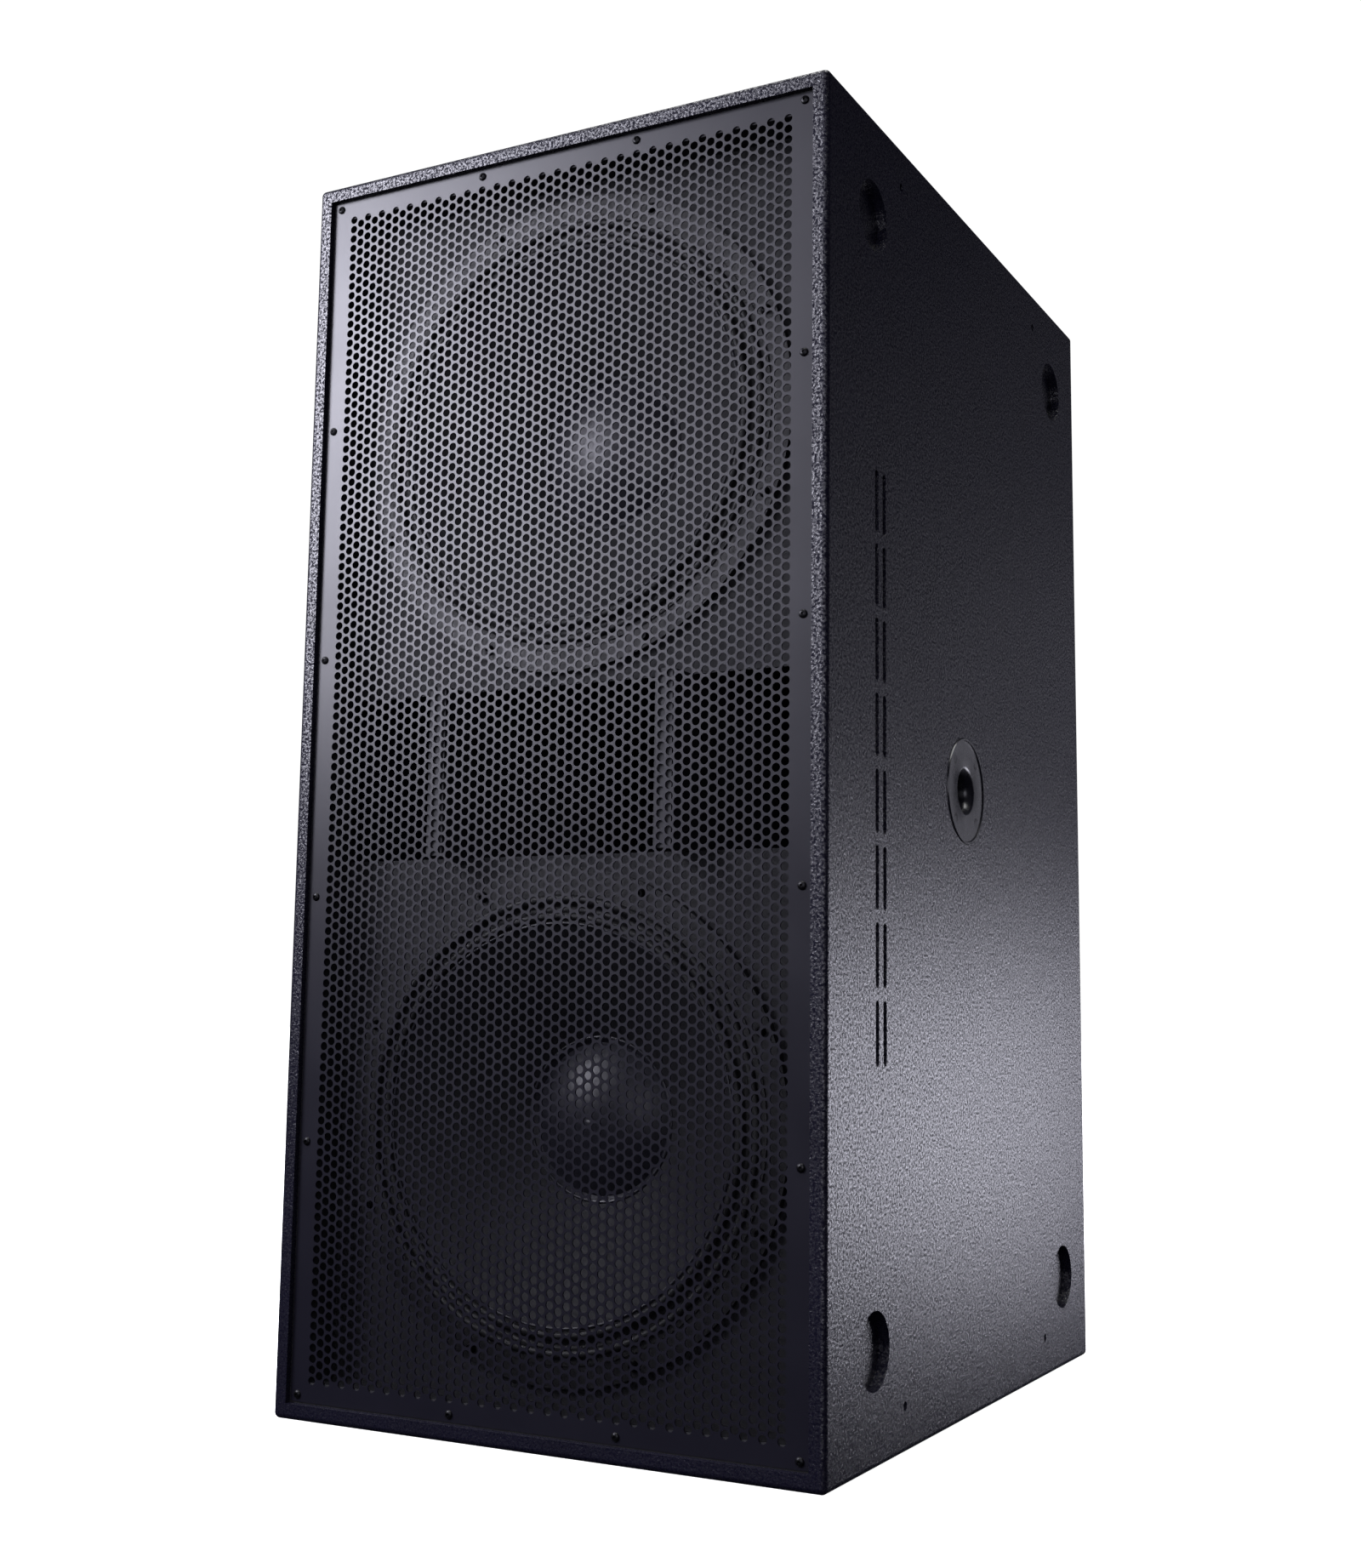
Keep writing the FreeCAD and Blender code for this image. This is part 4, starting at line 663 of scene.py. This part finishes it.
cabinetHeight = round(cadBox[1][2] / mm, 1)
handlesAlongY = (-170, 170)  # the two handles of an end
grip = {"half": 87, "radius": 13, "core": 9, "span": 101, "pitch": 7.25, "grooves": 24, "groove": 1.1,
        "below": 20}         # its axis, from the dish's face
dishSink = 2.4               # the dishes' faces lie this far below the ends' surface
sleeve = [(grip["core"], -grip["half"]), (grip["radius"] - 1.5, -grip["half"]), (grip["radius"], -grip["half"] + 1.5)]
for k in range(grip["grooves"]):
    start = -grip["half"] + 3 + k * grip["pitch"]
    sleeve += [(grip["radius"], start), (grip["radius"], start + 3.6), (grip["radius"] - grip["groove"], start + 4.4),
               (grip["radius"] - grip["groove"], start + 6.4)]
sleeve = [point for point in sleeve if point[1] < grip["half"] - 2]
sleeve += [(grip["radius"], grip["half"] - 1.5), (grip["radius"] - 1.5, grip["half"]), (grip["core"], grip["half"])]
tube = [(grip["core"] - 1.5, -grip["span"]), (grip["core"], -grip["span"]), (grip["core"], grip["span"]),
        (grip["core"] - 1.5, grip["span"])]
gripLevel = dishSink + grip["below"]
for end, z in (("top", cabinetHeight - gripLevel), ("bottom", gripLevel)):
    spotsAt = [Vector((0, y, z)) * mm for y in handlesAlongY]
    mounted(scattered(f"grip_sleeves_{end}", turned("sleeve", sleeve, "x", 32), spotsAt), "mouldedPlastic",
            "cabinet", f"handle_grips_{end}")
    mounted(scattered(f"grip_tubes_{end}", turned("tube", tube, "x", 32), spotsAt), "blackPaintedSteel",
            "cabinet")
print("grips")


# pressed steel dishes with rounded corners: the handles and the connector recess

def folded(edge):
    return len(edge.link_faces) == 2 and edge.calc_face_angle() > 1


def openAt(level):
    # a test for open edges that lie at a level
    return lambda edge: (len(edge.link_faces) < 2 and
                         all(abs(v.co.z - level * mm) < 0.01 * mm for v in edge.verts))


def pressedDish(name, plate, rim, deep, sheetThick, corner, screws, floorHoles=()):
    # hollow open towards +Z, the plate's face at 0; all sizes in millimetres
    inner = [size - 2 * rim - 2 * sheetThick for size in plate]
    deselect()
    bpy.ops.mesh.primitive_plane_add(size=1, location=(0, 0, -deep * mm))
    piece = bpy.context.object
    piece.name = piece.data.name = name
    bpy.ops.transform.resize(value=(inner[0] * mm, inner[1] * mm, 1))
    bpy.ops.object.transform_apply(location=True, rotation=True, scale=True)
    bpy.ops.object.mode_set(mode="EDIT")
    bpy.ops.mesh.select_all(action="SELECT")
    bpy.ops.mesh.bevel(offset=corner * mm, segments=6, affect="VERTICES")
    bpy.ops.mesh.select_mode(type="EDGE")
    selectEdges(piece, lambda edge: edge.is_boundary)
    bpy.ops.mesh.extrude_region_move(TRANSFORM_OT_translate={"value": (0, 0, deep * mm)})
    if floorHoles:
        bpy.ops.mesh.select_mode(type="FACE")
        bpy.ops.mesh.select_all(action="DESELECT")
        mesh = editedMesh(piece)
        for face in mesh.faces:
            face.select_set(abs(face.normal.z) > 0.9)
        bmesh.update_edit_mesh(piece.data)
        bpy.ops.mesh.delete(type="ONLY_FACE")
        bpy.ops.mesh.select_mode(type="EDGE")
        fillAround(piece, -deep, floorHoles)
    bpy.ops.mesh.select_all(action="DESELECT")
    bpy.ops.mesh.primitive_plane_add(size=1, location=(0, 0, 0))
    bpy.ops.transform.resize(value=(plate[0] * mm, plate[1] * mm, 1), center_override=(0, 0, 0))
    bpy.ops.mesh.delete(type="ONLY_FACE")
    fillAround(piece, 0, screws)
    bpy.ops.object.mode_set(mode="OBJECT")
    roundEdges(piece, 5 * mm, 4, lambda edge: folded(edge) and
               max(v.co.z for v in edge.verts) < -deep * mm / 2)      # round the floor
    roundEdges(piece, 1.5 * mm, 3, lambda edge: folded(edge) and
               min(v.co.z for v in edge.verts) > -deep * mm / 8)      # round the mouth
    bpy.ops.object.mode_set(mode="EDIT")
    if sum(face.normal.z * face.calc_area() for face in editedMesh(piece).faces) < 0:
        bpy.ops.mesh.select_all(action="SELECT")
        bpy.ops.mesh.flip_normals()
    bpy.ops.object.mode_set(mode="OBJECT")
    thick = piece.modifiers.new("thickness", "SOLIDIFY")
    thick.thickness = sheetThick * mm
    thick.offset = -1
    bpy.ops.object.modifier_apply(modifier=thick.name)
    return piece


def fillAround(piece, level, holes):
    # edit mode: fills between the open edges at a level and round holes of (x, y, radius)
    for x, y, radius in holes:
        bpy.ops.mesh.primitive_circle_add(vertices=16, radius=radius * mm, location=(x * mm, y * mm, level * mm))
    selectEdges(piece, openAt(level))
    bpy.ops.mesh.fill(use_beauty=True)


handle = {"plate": (250, 150), "rim": 22, "deep": 84, "sheet": 2, "corner": 14,
          "screws": [(x, y, 2.6) for x in (-114, 114) for y in (-64, 64)]}
handleDish = pressedDish("handle_dish", handle["plate"], handle["rim"], handle["deep"], handle["sheet"],
                         handle["corner"], handle["screws"])
for end, z, turn in (("top", cabinetHeight - dishSink, 0), ("bottom", dishSink, 180)):
    pair = [settle(copyOf(handleDish, "dish"), (0, y * mm, z * mm), (turn, 0, 0)) for y in handlesAlongY]
    mounted(joined(f"handle_dish_pair_{end}", pair), "powderCoatedSteel", "cabinet",
            f"handle_dishes_{end}")
bpy.data.objects.remove(handleDish)

recess = {"plate": (190, 130), "rim": 16, "deep": 34, "sheet": 1.6, "corner": 10,
          "screws": [(x, y, 2.1) for x in (-87, 87) for y in (-57, 57)], "sockets": [(-35, 0, 12.1), (35, 0, 12.1)],
          "place": (0, 376.6, 610)}      # its plate lies on the back panel
connectorDish = pressedDish("connector_recess", recess["plate"], recess["rim"], recess["deep"], recess["sheet"],
                            recess["corner"], recess["screws"], recess["sockets"])
settle(connectorDish, Vector(recess["place"]) * mm, (-90, 0, 0))
mounted(connectorDish, "powderCoatedSteel", "cabinet", "connector_dish")
print("dishes")


# studio: pale floor, soft lights

studio = {
    "floor": 60,
    "lampTone": "#f1f0ff",
    "overhead": 3.4,                                        # even light that keeps the floor pale
    "lamps": {                                              # place, aim, size in metres, power
        "high left": ((-2.2, -2.2, 2.4), (-0.1, -0.37, 1.0), 1.3, 82),
        "left": ((-1.3, -1.7, 1.35), (-0.15, -0.37, 0.9), 0.8, 27),
        "front fill": ((1.2, -3.0, 1.0), (0.1, -0.3, 0.6), 1.5, 20),
        "front high": ((-0.8, -3.0, 2.6), (0, -0.37, 0.8), 1.5, 8),
        "low near": ((0.9, 0.9, 0.2), (0.28, 0.05, 0.33), 0.5, 4.5),
        "low far": ((1.0, 1.6, 0.28), (0.28, 0.05, 0.38), 0.6, 3.1),
        "right middle": ((1.3, 2.2, 0.9), (0.28, 0.1, 0.6), 1.0, 1.2),
        "right back": ((2.0, 3.4, 1.8), (0.28, 0.1, 0.6), 1.6, 1.6),
        "behind": ((-2.2, 3.0, 2.0), (0, 0.3, 0.6), 1.6, 120),
    },
}
deselect()
bpy.ops.mesh.primitive_plane_add(size=studio["floor"], location=(0, 0, 0))
floor = bpy.context.object
floor.name = "floor"
floor.visible_glossy = False
floor.visible_diffuse = False
paleFloor = bpy.data.materials.new("paleFloor")
paleFloor.use_nodes = True
paper = paleFloor.node_tree.nodes["Principled BSDF"]
paper.inputs["Base Color"].default_value = hexColor("#ffffff")
paper.inputs["Emission Color"].default_value = hexColor("#ffffff")
paper.inputs["Emission Strength"].default_value = 1
floor.data.materials.append(paleFloor)

bpy.ops.object.light_add(type="SUN", location=(0, 0, 4), rotation=(0, 0, 0))
overhead = bpy.context.object
overhead.name = "overhead"
overhead.data.energy = studio["overhead"]
overhead.data.angle = math.radians(50)
for name, (place, aim, size, power) in studio["lamps"].items():
    facing = (Vector(aim) - Vector(place)).to_track_quat("-Z", "Y").to_euler()
    bpy.ops.object.light_add(type="AREA", location=place, rotation=facing)
    lamp = bpy.context.object
    lamp.name = name
    lamp.data.size = size
    lamp.data.energy = power
    lamp.data.color = hexColor(studio["lampTone"])[:3]

world = bpy.data.worlds.new("studio")
bpy.context.scene.world = world
world.use_nodes = True
sky = world.node_tree
ambient = sky.nodes["Background"]
ambient.inputs["Color"].default_value = hexColor("#d8d4ff")
ambient.inputs["Strength"].default_value = 0.02
backdrop = addNode(sky, "ShaderNodeBackground", {"Color": hexColor("#ffffff"), "Strength": 1.05})
seen = addNode(sky, "ShaderNodeLightPath")
blend = addNode(sky, "ShaderNodeMixShader", None,
                {0: (seen, "Is Camera Ray"), 1: (ambient, 0), 2: (backdrop, 0)})
sky.links.new(blend.outputs[0], sky.nodes["World Output"].inputs["Surface"])
bpy.context.scene.view_settings.view_transform = "Standard"
print("studio lit")
